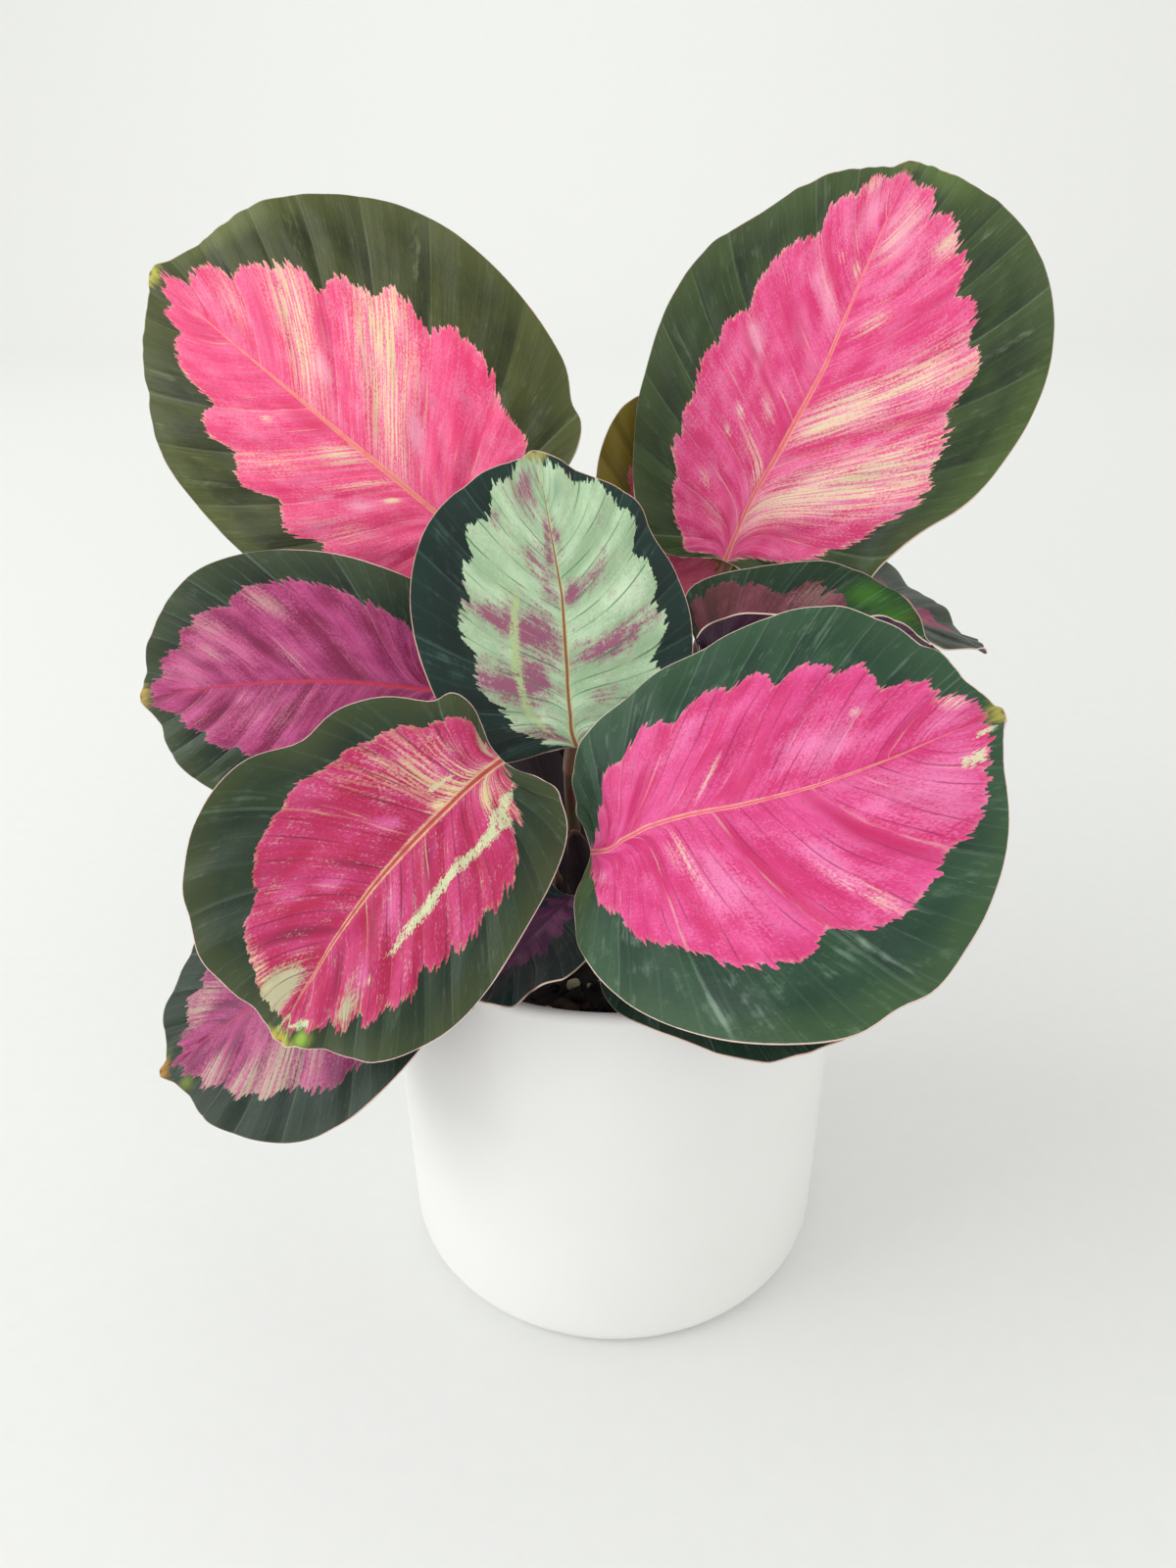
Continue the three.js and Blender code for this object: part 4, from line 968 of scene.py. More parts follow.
             (0.29, 0.73), (0.33, 0.64), (0.37, 0.72), (0.42, 0.67), (0.46, 0.72), (0.5, 0.63),
             (0.54, 0.71), (0.6, 0.7), (0.65, 0.74), (0.7, 0.65), (0.75, 0.74), (0.79, 0.8),
             (0.82, 0.77), (0.86, 0.86), (0.9, 0.84), (0.97, 0.7), (1, 0.2)),
            ((0, 0.7), (0.12, 0.73), (0.17, 0.72), (0.24, 0.72), (0.29, 0.69), (0.35, 0.71),
             (0.43, 0.72), (0.475, 0.65), (0.53, 0.73), (0.6, 0.77), (0.665, 0.75), (0.71, 0.83),
             (0.78, 0.86), (0.85, 0.9), (0.9, 0.8), (0.96, 0.6), (1, 0.2)),
        ),
        pleats=((0.17, 0.24, 0.33, 0.42, 0.5, 0.6, 0.7, 0.82), (0.08, 0.18, 0.295, 0.475, 0.665, 0.82)),
        lean=(0.5, 0.38), scallop=1.2, rib_width=0.85, teeth=(0.75, 0.8), quilt=1.5,
        rib_path=((0, -0.2), (0.05, -0.12), (0.1, 0.05), (0.18, 0.09), (0.3, 0.05), (0.4, 0.01),
                  (0.6, -0.03), (0.8, -0.05), (1, 0)),
        dents=((-1, 0.93, 0.04, 0.18), (-1, 0.48, 0.03, 0.03), (1, 0.93, 0.03, 0.06),
               (1, 0.72, 0.03, 0.03)),
        washes=dict(
            cream=((1, 0.67, 0.45, 0.012, 0.03, 1.0), (-1, 0.55, 0.6, 0.016, 0.12, 0.45),
                   (-1, 0.26, 0.25, 0.02, 0.1, 0.4), (1, 0.86, 0.75, 0.05, 0.12, 0.7),
                   (-1, 0.1, 0.6, 0.04, 0.06, 0.6), (-1, 0.3, 0.3, 0.008, 0.2, 0.9),
                   (-1, 0.54, 0.55, 0.008, 0.18, 0.8), (1, 0.36, 0.2, 0.01, 0.12, 0.7)),
            crease=((-1, 0.43, 0.33, 0.018, 0.34, 1.1), (-1, 0.62, 0.4, 0.022, 0.38, 1.1),
                    (-1, 0.235, 0.37, 0.02, 0.16, 0.8), (1, 0.2, 0.3, 0.03, 0.17, 0.8),
                    (1, 0.385, 0.34, 0.05, 0.05, 0.6), (1, 0.47, 0.25, 0.016, 0.3, 0.6),
                    (1, 0.78, 0.02, 0.1, 0.04, 0.8), (-1, 0.78, 0.02, 0.1, 0.04, 0.6),
                    (1, 0.8, 0.4, 0.02, 0.3, 0.5), (-1, 0.1, 0.35, 0.03, 0.15, 0.5)),
            pale=((1, 0.62, 0.25, 0.09, 0.16, 0.8), (-1, 0.36, 0.37, 0.045, 0.14, 0.8),
                  (-1, 0.76, 0.45, 0.12, 0.35, 0.65), (1, 0.32, 0.5, 0.04, 0.12, 0.4),
                  (-1, 0.53, 0.35, 0.03, 0.2, 0.5), (1, 0.88, 0.4, 0.06, 0.3, 0.5)),
            glow=((-1, 0.5, 0.97, 0.4, 0.1, 0.3), (1, 0.95, 0.95, 0.05, 0.15, 0.6),
                  (-1, 0.04, 0.85, 0.12, 0.3, 0.9)),
            sheen=((1, 0.555, 0.85, 0.012, 0.14, 0.7), (-1, 0.355, 0.8, 0.008, 0.16, 0.6),
                   (-1, 0.505, 0.78, 0.008, 0.15, 0.8), (-1, 0.47, 0.77, 0.02, 0.05, 0.5),
                   (-1, 0.33, 0.91, 0.02, 0.06, 0.7), (-1, 0.225, 0.74, 0.025, 0.05, 0.6),
                   (1, 0.3, 0.85, 0.02, 0.08, 0.5), (1, 0.72, 0.85, 0.012, 0.1, 0.5)),
        ),
        strokes=(
            (-1, (0.835, 0.66, 0.07), (0.85, 0.76, 0.09)),
            (-1, (0.895, 0.7, 0.08), (0.91, 0.78, 0.1)),
        ),
        deep="#D02E70", light="#E55294", pale="#F48CBE", cream="#EFD2B8", crease="#C41E60",
        line="#A02458", rib="#E25670", rib_edge="#F0B79C", border_deep="#153224",
        border_light="#2F5238", edge="#3E6040", glow="#56682E", sheen="#94AC98", stroke="#DCDDB4",
        rim="#EBCFC4", tip="#B3A94E", line_pitch=4.4, line_share=0.75, streak_share=0.08,
        fringe=0.25, sheen_share=0.3, rim_share=0.75,
    ),
    "low_left": dict(
        patch=(
            ((0, 0.5), (0.2, 0.7), (0.37, 0.8), (0.43, 0.76), (0.53, 0.69), (0.61, 0.76), (0.68, 0.73),
             (0.75, 0.75), (0.78, 0.79), (0.9, 0.7), (1, 0.3)),
            ((0, 0.5), (0.3, 0.68), (0.6, 0.72), (0.7, 0.76), (0.75, 0.7), (0.8, 0.73), (0.85, 0.7),
             (0.9, 0.55), (1, 0.2)),
        ),
        pleats=((0.1, 0.22, 0.35, 0.49, 0.6, 0.7, 0.8), (0.1, 0.25, 0.4, 0.55, 0.66, 0.78)),
        scallop=2.6, teeth=(1.0, 0.7),
        dents=((-1, 0.85, 0.1, 0.15), (1, 0.88, 0.02, 0.06)),
        washes=dict(
            cream=((1, 0.54, 0.55, 0.06, 0.26, 1.2), (1, 0.64, 0.66, 0.04, 0.16, 1.2),
                   (1, 0.76, 0.62, 0.05, 0.22, 1.1), (-1, 0.72, 0.6, 0.1, 0.16, 0.9),
                   (1, 0.45, 0.6, 0.04, 0.2, 0.4), (1, 0.3, 0.3, 0.1, 0.3, 0.2)),
            crease=((1, 0.5, 0.35, 0.02, 0.3, 0.7), (1, 0.7, 0.35, 0.02, 0.3, 0.6),
                    (-1, 0.6, 0.35, 0.02, 0.3, 0.7)),
            pale=((1, 0.6, 0.3, 0.04, 0.2, 0.5),),
            glow=((1, 0.84, 0.88, 0.03, 0.14, 0.9), (-1, 0.9, 0.95, 0.08, 0.14, 0.4)),
        ),
        deep="#7A2250", light="#B84680", pale="#CC7496", cream="#BCB294", crease="#641A3E",
        line="#6E1D4A", rib="#B9304C", rib_edge="#B9486C", border_deep="#101F1A",
        border_light="#243C2E", edge="#3A4630", glow="#7E8C3A", tip="#B5822E", line_share=0.3,
        streak_share=0.08, cream_base=0.05, rim_share=0.45, edge_share=0.4, sheen="#8A9478",
    ),
    "folded_right": dict(
        patch=(
            ((0, 0.5), (0.1, 0.84), (0.2, 0.9), (0.3, 0.86), (0.34, 0.64), (0.38, 0.72), (0.5, 0.74),
             (0.56, 0.6), (0.6, 0.3), (0.7, 0.2), (1, 0)),
            ((0, 0.5), (0.2, 0.66), (0.6, 0.6), (0.8, 0.4), (1, 0.1)),
        ),
        dents=((-1, 0.8, 0.22, 0.38), (-1, 0.1, 0.12, -0.12)),
        washes=dict(
            cream=((1, 0.45, 0.6, 0.07, 0.16, 1.0),),
            stain=((1, 0.2, 0.7, 0.12, 0.3, 0.7),),
            glow=((1, 0.6, 0.8, 0.08, 0.2, 1.0), (1, 0.72, 0.6, 0.08, 0.4, 1.0),
                  (1, 0.84, 0.7, 0.06, 0.3, 0.7)),
        ),
        strokes=((1, (0.75, 0.8, 0.02), (0.79, 0.92, 0.03)),),
        deep="#5E2C36", light="#8A4654", pale="#9A6470", cream="#94736A", stain="#4E2B22",
        line="#4A1C2C", rib="#7A2E38", rib_edge="#7A4A44", border_deep="#0D2016",
        border_light="#1F3F26", glow="#3F7A16", stroke="#6B4A1C", fringe=0.2, edge="#24441E",
    ),
    "far_right": dict(
        patch=(
            ((0, 0.3), (0.2, 0.4), (0.5, 0.5), (0.75, 0.45), (0.9, 0.3), (1, 0)),
            ((0, 0.3), (0.2, 0.4), (0.5, 0.45), (0.75, 0.4), (0.9, 0.3), (1, 0)),
        ),
        deep="#7A1E46", light="#9C2C5C", pale="#AE5076", cream="#8E7A68", border_deep="#16231A",
        border_light="#2E4030", edge="#47522F", glow="#66704A", fringe=0.2, rim_share=0.5,
        edge_share=0.4,
    ),
    # Stands lit from behind: its olive-yellow border, edge, glow and tip colours are painted light
    # shining through the leaf over its own green.
    "back_centre": dict(
        patch=(
            ((0, 0.4), (0.2, 0.52), (0.6, 0.56), (0.8, 0.5), (0.92, 0.4), (1, 0)),
            ((0, 0.5), (0.2, 0.66), (0.6, 0.6), (0.8, 0.5), (0.92, 0.4), (1, 0)),
        ),
        deep="#DE4E74", light="#EE6A8A", pale="#F095A6", cream="#E0BC80", border_deep="#6A5A12",
        border_light="#8F7D1E", glow="#A0903A", tip="#A08A26", line="#B04664", sheen="#B0A060",
        edge="#8A7A24",
    ),
    "low_right": dict(
        deep="#7E2448", light="#A03462", cream="#8E7A68", border_deep="#10221B",
        border_light="#23402F", edge="#2B4430", fringe=0.2,
    ),
    # Lies low under the other leaves: its dark purple and blue-green are its own colours darkened by
    # painted shade.
    "low_front": dict(
        patch=(
            ((0, 0.3), (0.1, 0.35), (0.5, 0.4), (0.65, 0.35), (0.75, 0.1), (1, 0)),
        ) * 2,
        deep="#4E1E48", light="#702E60", pale="#824A74", cream="#6E4E64", line="#2E1530",
        rib="#4E2440", rib_edge="#4E2440", border_deep="#0A1A1C", border_light="#12302C",
        edge="#16342E", glow="#22403A", fringe=0.1, rim="#C9B8A8",
    ),
}


def pattern_edge(half, length, turn_share):
    """The edge of one half of the flat pattern; turn_share runs from 0 at the tip to 1."""
    phi = np.pi * turn_share
    back = (1 - np.cos(phi)) / 2
    tip = half.get("tip", TIP) * np.exp(-(phi / TIP_TURN) ** 2)
    x = (1 + np.cos(phi)) / 2 - LOBE * np.sin(phi) ** 2 * back ** 4 + tip
    shape = 1 + half["egg"] * np.cos(phi) + half["crest"] * np.cos(2 * phi)
    taper = 1 - TAPER * np.exp(-(phi / TAPER_TURN) ** 2)
    return length * x, half["width"] * np.clip(np.sin(phi), 0, 1) ** BLUNTNESS * shape * taper


def by_side(left, values):
    """The first of two values or arrays on the left half, and the second on the right."""
    return np.where(left, values[0], values[1])


def flat_place(leaf, look, s, t):
    """A place on the flat pattern: x and y in mm, and the length of the vein it lies on."""
    left = t >= 0
    across = np.abs(t)
    turn = (1 - s) ** VEIN_CROWDING
    edges = [pattern_edge(leaf[k], leaf["length"], turn) for k in ("left", "right")]
    edge_x = by_side(left, [e[0] for e in edges])
    edge_y = by_side(left, [e[1] for e in edges])
    for side, at, span, depth in look["dents"]:
        edge_y = edge_y * (1 - np.where((side > 0) == left, depth, 0) * np.exp(-((s - at) / span) ** 2))
    middle = leaf["length"] * s
    run = VEIN_START * across + (1 - VEIN_START) * across * across
    x = middle + (edge_x - middle) * run
    return x, edge_y * across, np.hypot(edge_x - middle, edge_y)


def blade_place(leaf, look, s, t):
    """The blade's upper face in space, in mm, before its pleats and waves."""
    along, level, face = axes_of(leaf)
    x, y, _ = flat_place(leaf, look, s, t)
    length = leaf["length"]
    left = t >= 0
    share = x / length
    bend = math.radians(leaf["arch"]) * share
    radius = length / math.radians(leaf["arch"])
    spot = np.array(leaf["base"]) + np.outer(radius * np.sin(bend), along)
    spot = spot - np.outer(radius * (1 - np.cos(bend)), face)
    spot = spot + np.outer(4 * leaf.get("sweep", 0) * length * share * (1 - share), level)
    bent = np.outer(np.cos(bend), face) + np.outer(np.sin(bend), along)
    twist = math.radians(leaf.get("twist", 0)) * share
    sideways = np.outer(np.cos(twist), level) + np.sin(twist)[:, None] * bent
    outward = np.cos(twist)[:, None] * bent - np.outer(np.sin(twist), level)
    width, fold, edge = (
        by_side(left, (leaf["left"][k], leaf["right"][k])) for k in ("width", "fold", "edge"))
    curl = np.zeros_like(s)
    for mark, half in ((1, leaf["left"]), (-1, leaf["right"])):
        if "curl" in half:
            at, span, angle = half["curl"]
            curl = curl + np.where((mark > 0) == left, angle * np.exp(-((share - at) / span) ** 2), 0)
    out, up = np.zeros_like(s), np.zeros_like(s)
    for i in range(SECTION_STEPS):
        part = (i + 0.5) / SECTION_STEPS * y / width
        slope = np.radians(fold + (edge - fold) * part + curl * smooth(part, CURL_FROM, 1))
        out += np.cos(slope) * y / SECTION_STEPS
        up += np.sin(slope) * y / SECTION_STEPS
    out = np.where(left, out, -out)
    return spot + out[:, None] * sideways + up[:, None] * outward


def mottled(tree, start, *parts):
    """A value with marks added to it: each part is a height and a pattern that runs 0 to 1."""
    total = add(tree, "Math", start, -0.5 * sum(height for height, _ in parts), operation="ADD")
    for height, pattern in parts:
        total = add(tree, "Math", pattern, height, total, operation="MULTIPLY_ADD")
    return total


def leaf_face(name, look):
    """The upper face of one leaf, painted from the attributes that its mesh carries."""
    skin = finish_of("variegated_leaf_face_" + name)
    tree = skin.node_tree
    soft = dict(interpolation_type="SMOOTHSTEP")
    rgb = dict(data_type="RGBA")
    times = dict(operation="MULTIPLY")
    vein = add(tree, "Attribute", attribute_name="vein").outputs["Vector"]
    bounds, wash, light_and_shade, marks = (
        add(tree, "SeparateXYZ", add(tree, "Attribute", attribute_name=kind).outputs["Vector"])
        for kind in ("bounds", "wash", "light_and_shade", "marks"))
    patch_mm, margin_mm, rib_share = (bounds.outputs[k] for k in "XYZ")
    cream_wash, stain_wash, glow_wash = (wash.outputs[k] for k in "XYZ")
    # The pale, crease and sheen washes: painted highlights, painted shade in the creases and painted
    # reflections.
    highlight_wash, crease_shade_wash, sheen_wash = (light_and_shade.outputs[k] for k in "XYZ")
    stroke_mm, pleat_count, tip_mm = (marks.outputs[k] for k in "XYZ")

    # Noise drawn out along the veins; each is so many mm across them and along them.
    grain = {}
    for kind, across, along, detail in (
        ("teeth", 1.1, 9, 2), ("streak", 0.8, 11, 4), ("grit", 0.5, 0.8, 2), ("band", 6, 26, 2),
        ("cloud", 7, 9, 4), ("blotch", 2.2, 4, 4), ("worn", 3, 18, 2), ("fibre", 0.8, 22, 3),
        ("drift", 12, 60, 1),
    ):
        drawn = add(tree, "Mapping", {"Vector": vein, "Scale": (1 / across, 1 / along, 1)})
        grain[kind] = add(tree, "TexNoise", {"Vector": drawn, "Scale": 1.0, "Detail": detail}).outputs[0]
    grit, streak, band, cloud = (grain[k] for k in ("grit", "streak", "band", "cloud"))
    blotch, worn, fibre = (grain[k] for k in ("blotch", "worn", "fibre"))

    # Pleats: how far through one, and its arch. Fine veins: which one is nearest, and how near.
    through = add(tree, "Math", pleat_count, operation="FRACT")
    from_middle = add(tree, "Math", through, 2.0, -1.0, operation="MULTIPLY_ADD")
    from_middle = add(tree, "Math", from_middle, operation="ABSOLUTE")
    arch = add(tree, "Math", from_middle, PLEAT_BULGE, operation="POWER")
    arch = add(tree, "Math", 1.0, arch, operation="SUBTRACT")
    parts = add(tree, "SeparateXYZ", vein)
    across_mm, side_mm = parts.outputs["X"], parts.outputs["Y"]
    count = add(tree, "Math", across_mm, look["line_pitch"], operation="DIVIDE")
    count = mottled(tree, count, (1.6, grain["drift"]))
    nearest = add(tree, "Math", count, operation="ROUND")
    line_mm = add(tree, "Math", count, nearest, operation="SUBTRACT")
    line_mm = add(tree, "Math", line_mm, operation="ABSOLUTE")
    line_mm = add(tree, "Math", line_mm, look["line_pitch"], **times)
    luck = add(tree, "TexWhiteNoise", nearest, noise_dimensions="1D").outputs["Value"]
    comb = mottled(tree, across_mm, (0.8, grain["teeth"]))
    comb = add(tree, "Math", comb, TOOTH_MM, operation="DIVIDE")
    tooth = add(tree, "Math", comb, operation="FLOOR")
    tooth = add(tree, "TexWhiteNoise", tooth, noise_dimensions="1D").outputs["Value"]
    slant = add(tree, "Math", comb, operation="FRACT")

    # The patch reaches the border in scallops, one a pleat, each cut into teeth that are shorter
    # where the veins crowd together at the base.
    ragged = mottled(tree, -0.15 * look["scallop"], (look["scallop"], arch), (2.2, tooth), (1.0, slant),
                     (3.6, grain["teeth"]), (1.6, grit))
    half = add(tree, "MapRange", side_mm, -0.1, 0.1, look["teeth"][1], look["teeth"][0])
    room = add(tree, "MapRange", across_mm, -26.0, 4.0, 0.4, 1.0)
    room = add(tree, "Math", room, half, **times)
    toothed = add(tree, "Math", ragged, room, patch_mm, operation="MULTIPLY_ADD")
    inside = add(tree, "MapRange", toothed, -0.1, 0.12, 0.0, 1.0, **soft)

    # Its pink or mint is deeper and lighter in soft bands along the veins, with painted shade a little
    # darker at one side of each pleat; it is finely freckled, and washes of other tones lie over it.
    tone = mottled(tree, 0.5, (1.4, band), (1.2, cloud), (0.6, streak), (0.8, grit), (0.2, through))
    tone = add(tree, "MapRange", tone, 0.1, 0.9, 0.0, 1.0, **soft)
    patch = add(tree, "Mix", tone, look["deep"], look["light"], **rgb)
    # Painted highlights: the pale washes, with a lighter mottle all over and over the cream areas,
    # lighten the pink.
    cream_and_highlight = add(tree, "Math", cream_wash, 0.7, highlight_wash, operation="MULTIPLY_ADD")
    cream_and_highlight = mottled(tree, cream_and_highlight, (1.1, cloud), (0.8, streak), (1.3, grit))
    # Painted shade: the crease washes deepen the colour in the creases and folds.
    crease_shading = mottled(tree, crease_shade_wash, (0.7, cloud), (0.3, streak), (0.6, grit))
    stained = mottled(tree, stain_wash, (1.8, blotch), (2.2, grit), (2.2, streak), (1.2, cloud))
    lined = mottled(tree, 0.0, (1.2, fibre), (0.5, streak), (0.5, grit))
    lined = add(tree, "MapRange", lined, -0.12, 0.14, 0.0, 1.6)
    creamed = add(tree, "Math", cream_wash, lined, **times)
    for value, low, high, most, colour in (
        (cream_and_highlight, 0.15, 0.95, 0.88, "pale"), (crease_shading, 0.15, 0.9, 0.85, "crease"),
        (stained, -0.05, 1.0, 0.88, "stain"), (creamed, 0.15, 1.1, 0.85, "cream"),
    ):
        amount = add(tree, "MapRange", value, low, high, 0.0, most)
        patch = add(tree, "Mix", amount, patch, look[colour], **rgb)

    # Every few millimetres a fine vein: a few are cream, the others dark, and both are worn away
    # in places. The teeth have a cream fringe, and a broken cream line lies in each pleat.
    rare = add(tree, "MapRange", luck, 1 - look["streak_share"], 1.02 - look["streak_share"], 0.0, 1.0)
    frayed = mottled(tree, line_mm, (0.5, grit), (0.5, blotch))
    frayed = add(tree, "MapRange", frayed, 0.26, 0.0, 0.0, 0.6)
    run = mottled(tree, cream_wash, (3.2, worn))
    run = add(tree, "MapRange", run, 0.1, 0.7, 0.0, 1.0)
    creamy = add(tree, "Math", frayed, run, **times)
    dark = add(tree, "MapRange", line_mm, 0.3, 0.06, 0.0, look["line_share"])
    spared = add(tree, "MapRange", worn, 0.42, 0.58, 0.1, 1.0)
    dark = add(tree, "Math", dark, spared, **times)
    others = add(tree, "Math", 1.0, rare, operation="SUBTRACT")
    near_edge = mottled(tree, toothed, (3.0, grit), (4.0, streak))
    near_edge = add(tree, "MapRange", near_edge, 1.0, -0.2, 0.0, look["fringe"])
    flaky = add(tree, "MapRange", blotch, 0.4, 0.6, 0.3, 1.4)
    at_pleat = mottled(tree, from_middle, (0.04, grit))
    at_pleat = add(tree, "MapRange", at_pleat, 0.945, 0.985, 0.0, 1.0, **soft)
    broken = add(tree, "MapRange", streak, 0.45, 0.65, 0.0, 0.35)
    for mark, share, colour in (
        (creamy, rare, "cream"), (dark, others, "line"), (near_edge, flaky, "cream"),
        (at_pleat, broken, "cream"),
    ):
        amount = add(tree, "Math", mark, share, **times)
        patch = add(tree, "Mix", amount, patch, look[colour], **rgb)

    # The green border: broad bands with painted shade across the pleats, an olive edge, a painted glow
    # and pale glossy marks that are painted reflections.
    # Painted shade: the border's tone darkens towards one side of each pleat.
    tone = mottled(tree, 0.42, (0.6, band), (1.2, cloud), (0.2, streak), (0.35, grit), (0.55, through))
    tone = add(tree, "MapRange", tone, 0.0, 1.0, 0.0, 1.0)
    border = add(tree, "Mix", tone, look["border_deep"], look["border_light"], **rgb)
    near_rim = mottled(tree, margin_mm, (14.0, cloud), (7.0, band))
    near_rim = add(tree, "MapRange", near_rim, 10.0, -1.0, 0.0, look["edge_share"])
    # Painted light: the glow washes lighten the border where light shines through the thin leaf.
    lit = mottled(tree, glow_wash, (0.3, blotch), (0.2, streak))
    lit = add(tree, "MapRange", lit, 0.1, 1.0, 0.0, 0.9)
    veined = add(tree, "MapRange", line_mm, 0.3, 0.05, 0.0, 0.05)
    # Painted highlights along some pleat lines, painted sheen in soft patches, and the sheen washes as
    # painted reflections.
    which = add(tree, "Math", pleat_count, operation="ROUND")
    which = add(tree, "TexWhiteNoise", which, noise_dimensions="1D").outputs["Value"]
    ridge = add(tree, "MapRange", which, 0.2, 0.8, 0.04, 0.25)
    spared = add(tree, "MapRange", worn, 0.35, 0.55, 0.35, 1.0)
    ridge = add(tree, "Math", ridge, spared, **times)
    ridge = add(tree, "Math", at_pleat, ridge, **times)
    sheen_patches = mottled(tree, 0.0, (1.3, cloud), (0.9, blotch), (0.4, grit), (0.6, streak))
    sheen_patches = add(tree, "MapRange", sheen_patches, 0.12, 0.8, 0.0, look["sheen_share"])
    shiny = mottled(tree, sheen_wash, (1.6, fibre), (1.2, blotch), (0.8, streak))
    shiny = add(tree, "MapRange", shiny, 0.25, 1.1, 0.0, 0.5)
    for amount, colour in (
        (near_rim, "edge"), (lit, "glow"), (veined, "sheen"), (ridge, "sheen"), (sheen_patches, "sheen"),
        (shiny, "sheen"),
    ):
        border = add(tree, "Mix", amount, border, look[colour], **rgb)
    face = add(tree, "Mix", inside, border, patch, **rgb)

    # Brushed pale marks, the midrib between its two pale lines, the tip with its dry end, specks
    # and the rim.
    brushed = mottled(tree, stroke_mm, (4.4, blotch), (5.0, grit))
    brushed = add(tree, "MapRange", brushed, -0.1, 0.5, 0.0, 0.95)
    holes = mottled(tree, 0.0, (1.2, grit), (1.0, blotch), (0.8, fibre))
    holes = add(tree, "MapRange", holes, 0.22, 0.1, 0.15, 1.0)
    brushed = add(tree, "Math", brushed, holes, **times)
    beside = mottled(tree, rib_share, (0.8, streak), (0.6, grit))
    beside = add(tree, "MapRange", beside, 1.25, 0.75, 0.0, 0.8)
    spared = add(tree, "MapRange", worn, 0.35, 0.55, 0.45, 1.0)
    beside = add(tree, "Math", beside, spared, **times)
    core = mottled(tree, rib_share, (0.3, streak), (0.1, grit))
    core = add(tree, "MapRange", core, 0.62, 0.34, 0.0, 0.9)
    pointed = mottled(tree, tip_mm, (9.0, blotch))
    pointed = add(tree, "MapRange", pointed, 6.5, 2.5, 0.0, 0.9)
    dry = add(tree, "MapRange", tip_mm, 1.5, 0.5, 0.0, 0.8)
    drawn = add(tree, "Mapping", {"Vector": vein, "Scale": (1 / SPECK_GAP, 1 / SPECK_GAP, 1)})
    spots = add(tree, "TexVoronoi", {"Vector": drawn, "Scale": 1.0})
    kept = add(tree, "SeparateColor", spots.outputs["Color"])
    kept = add(tree, "MapRange", kept, 0.8, 0.82, 0.0, 0.75)
    speck = add(tree, "MapRange", spots.outputs["Distance"], 0.03, 0.017, 0.0, 1.0)
    speck = add(tree, "Math", speck, kept, **times)
    wander = add(tree, "TexNoise", {"Vector": vein, "Scale": RIM_WANDER, "Detail": 2.0})
    bare = 0.72 - 0.5 * look["rim_share"]
    shown = add(tree, "MapRange", wander, bare, 0.78 - 0.5 * look["rim_share"], 0.25, 1.0)
    rim = mottled(tree, margin_mm, (0.2, streak))
    rim = add(tree, "MapRange", rim, 0.26, 0.1, 0.0, 1.0)
    rim = add(tree, "Math", rim, shown, **times)
    for amount, colour in (
        (brushed, look["stroke"]), (beside, look["rib_edge"]), (core, look["rib"]),
        (pointed, look["tip"]), (dry, "#5E4228"), (speck, "#C9B489"), (rim, look["rim"]),
    ):
        face = add(tree, "Mix", amount, face, colour, **rgb)

    dull = mottled(tree, 0.44, (0.25, band), (0.15, cloud), (0.12, streak))
    waves = add(tree, "Math", count, 2 * math.pi, **times)
    waves = add(tree, "Math", waves, operation="COSINE")
    waves = add(tree, "Math", waves, 0.3, **times)
    rise = mottled(tree, waves, (1.0, streak), (0.7, grit), (1.6, blotch))
    relief = add(tree, "Bump", {"Height": rise, "Strength": 0.55, "Distance": 0.0002})
    shader = add(tree, "BsdfPrincipled", {
        "Base Color": face, "Roughness": dull, "IOR": 1.36, "Normal": relief,
    })
    add(tree, "OutputMaterial", {"Surface": shader})
    return skin


# The back of a leaf: burgundy, matt, with paler raised veins and a reddish-green midrib.
back_skin = finish_of("burgundy_leaf_back")
tree = back_skin.node_tree
vein = add(tree, "Attribute", attribute_name="vein").outputs["Vector"]
bounds = add(tree, "SeparateXYZ", add(tree, "Attribute", attribute_name="bounds").outputs["Vector"])
drawn = add(tree, "Mapping", {"Vector": vein, "Scale": (0.8, 0.06, 1)})
streak = add(tree, "TexNoise", {"Vector": drawn, "Scale": 1.0, "Detail": 3.0})
drawn = add(tree, "Mapping", {"Vector": vein, "Scale": (0.12, 0.05, 1)})
band = add(tree, "TexNoise", {"Vector": drawn, "Scale": 1.0, "Detail": 3.0})
tone = add(tree, "Mix", add(tree, "MapRange", band, 0.35, 0.65), "#2C1229", "#4C2341", data_type="RGBA")
fine = add(tree, "MapRange", streak, 0.55, 0.7, 0.0, 0.35)
tone = add(tree, "Mix", fine, tone, "#744864", data_type="RGBA")
on_rib = add(tree, "MapRange", bounds.outputs["Z"], 1.7, 1.0)
tone = add(tree, "Mix", on_rib, tone, "#7E5040", data_type="RGBA")
relief = add(tree, "Bump", {"Height": streak, "Strength": 0.6, "Distance": 0.0003})
shader = add(tree, "BsdfPrincipled", {
    "Base Color": tone, "Roughness": 0.52, "IOR": 1.4, "Normal": relief,
})
add(tree, "OutputMaterial", {"Surface": shader})

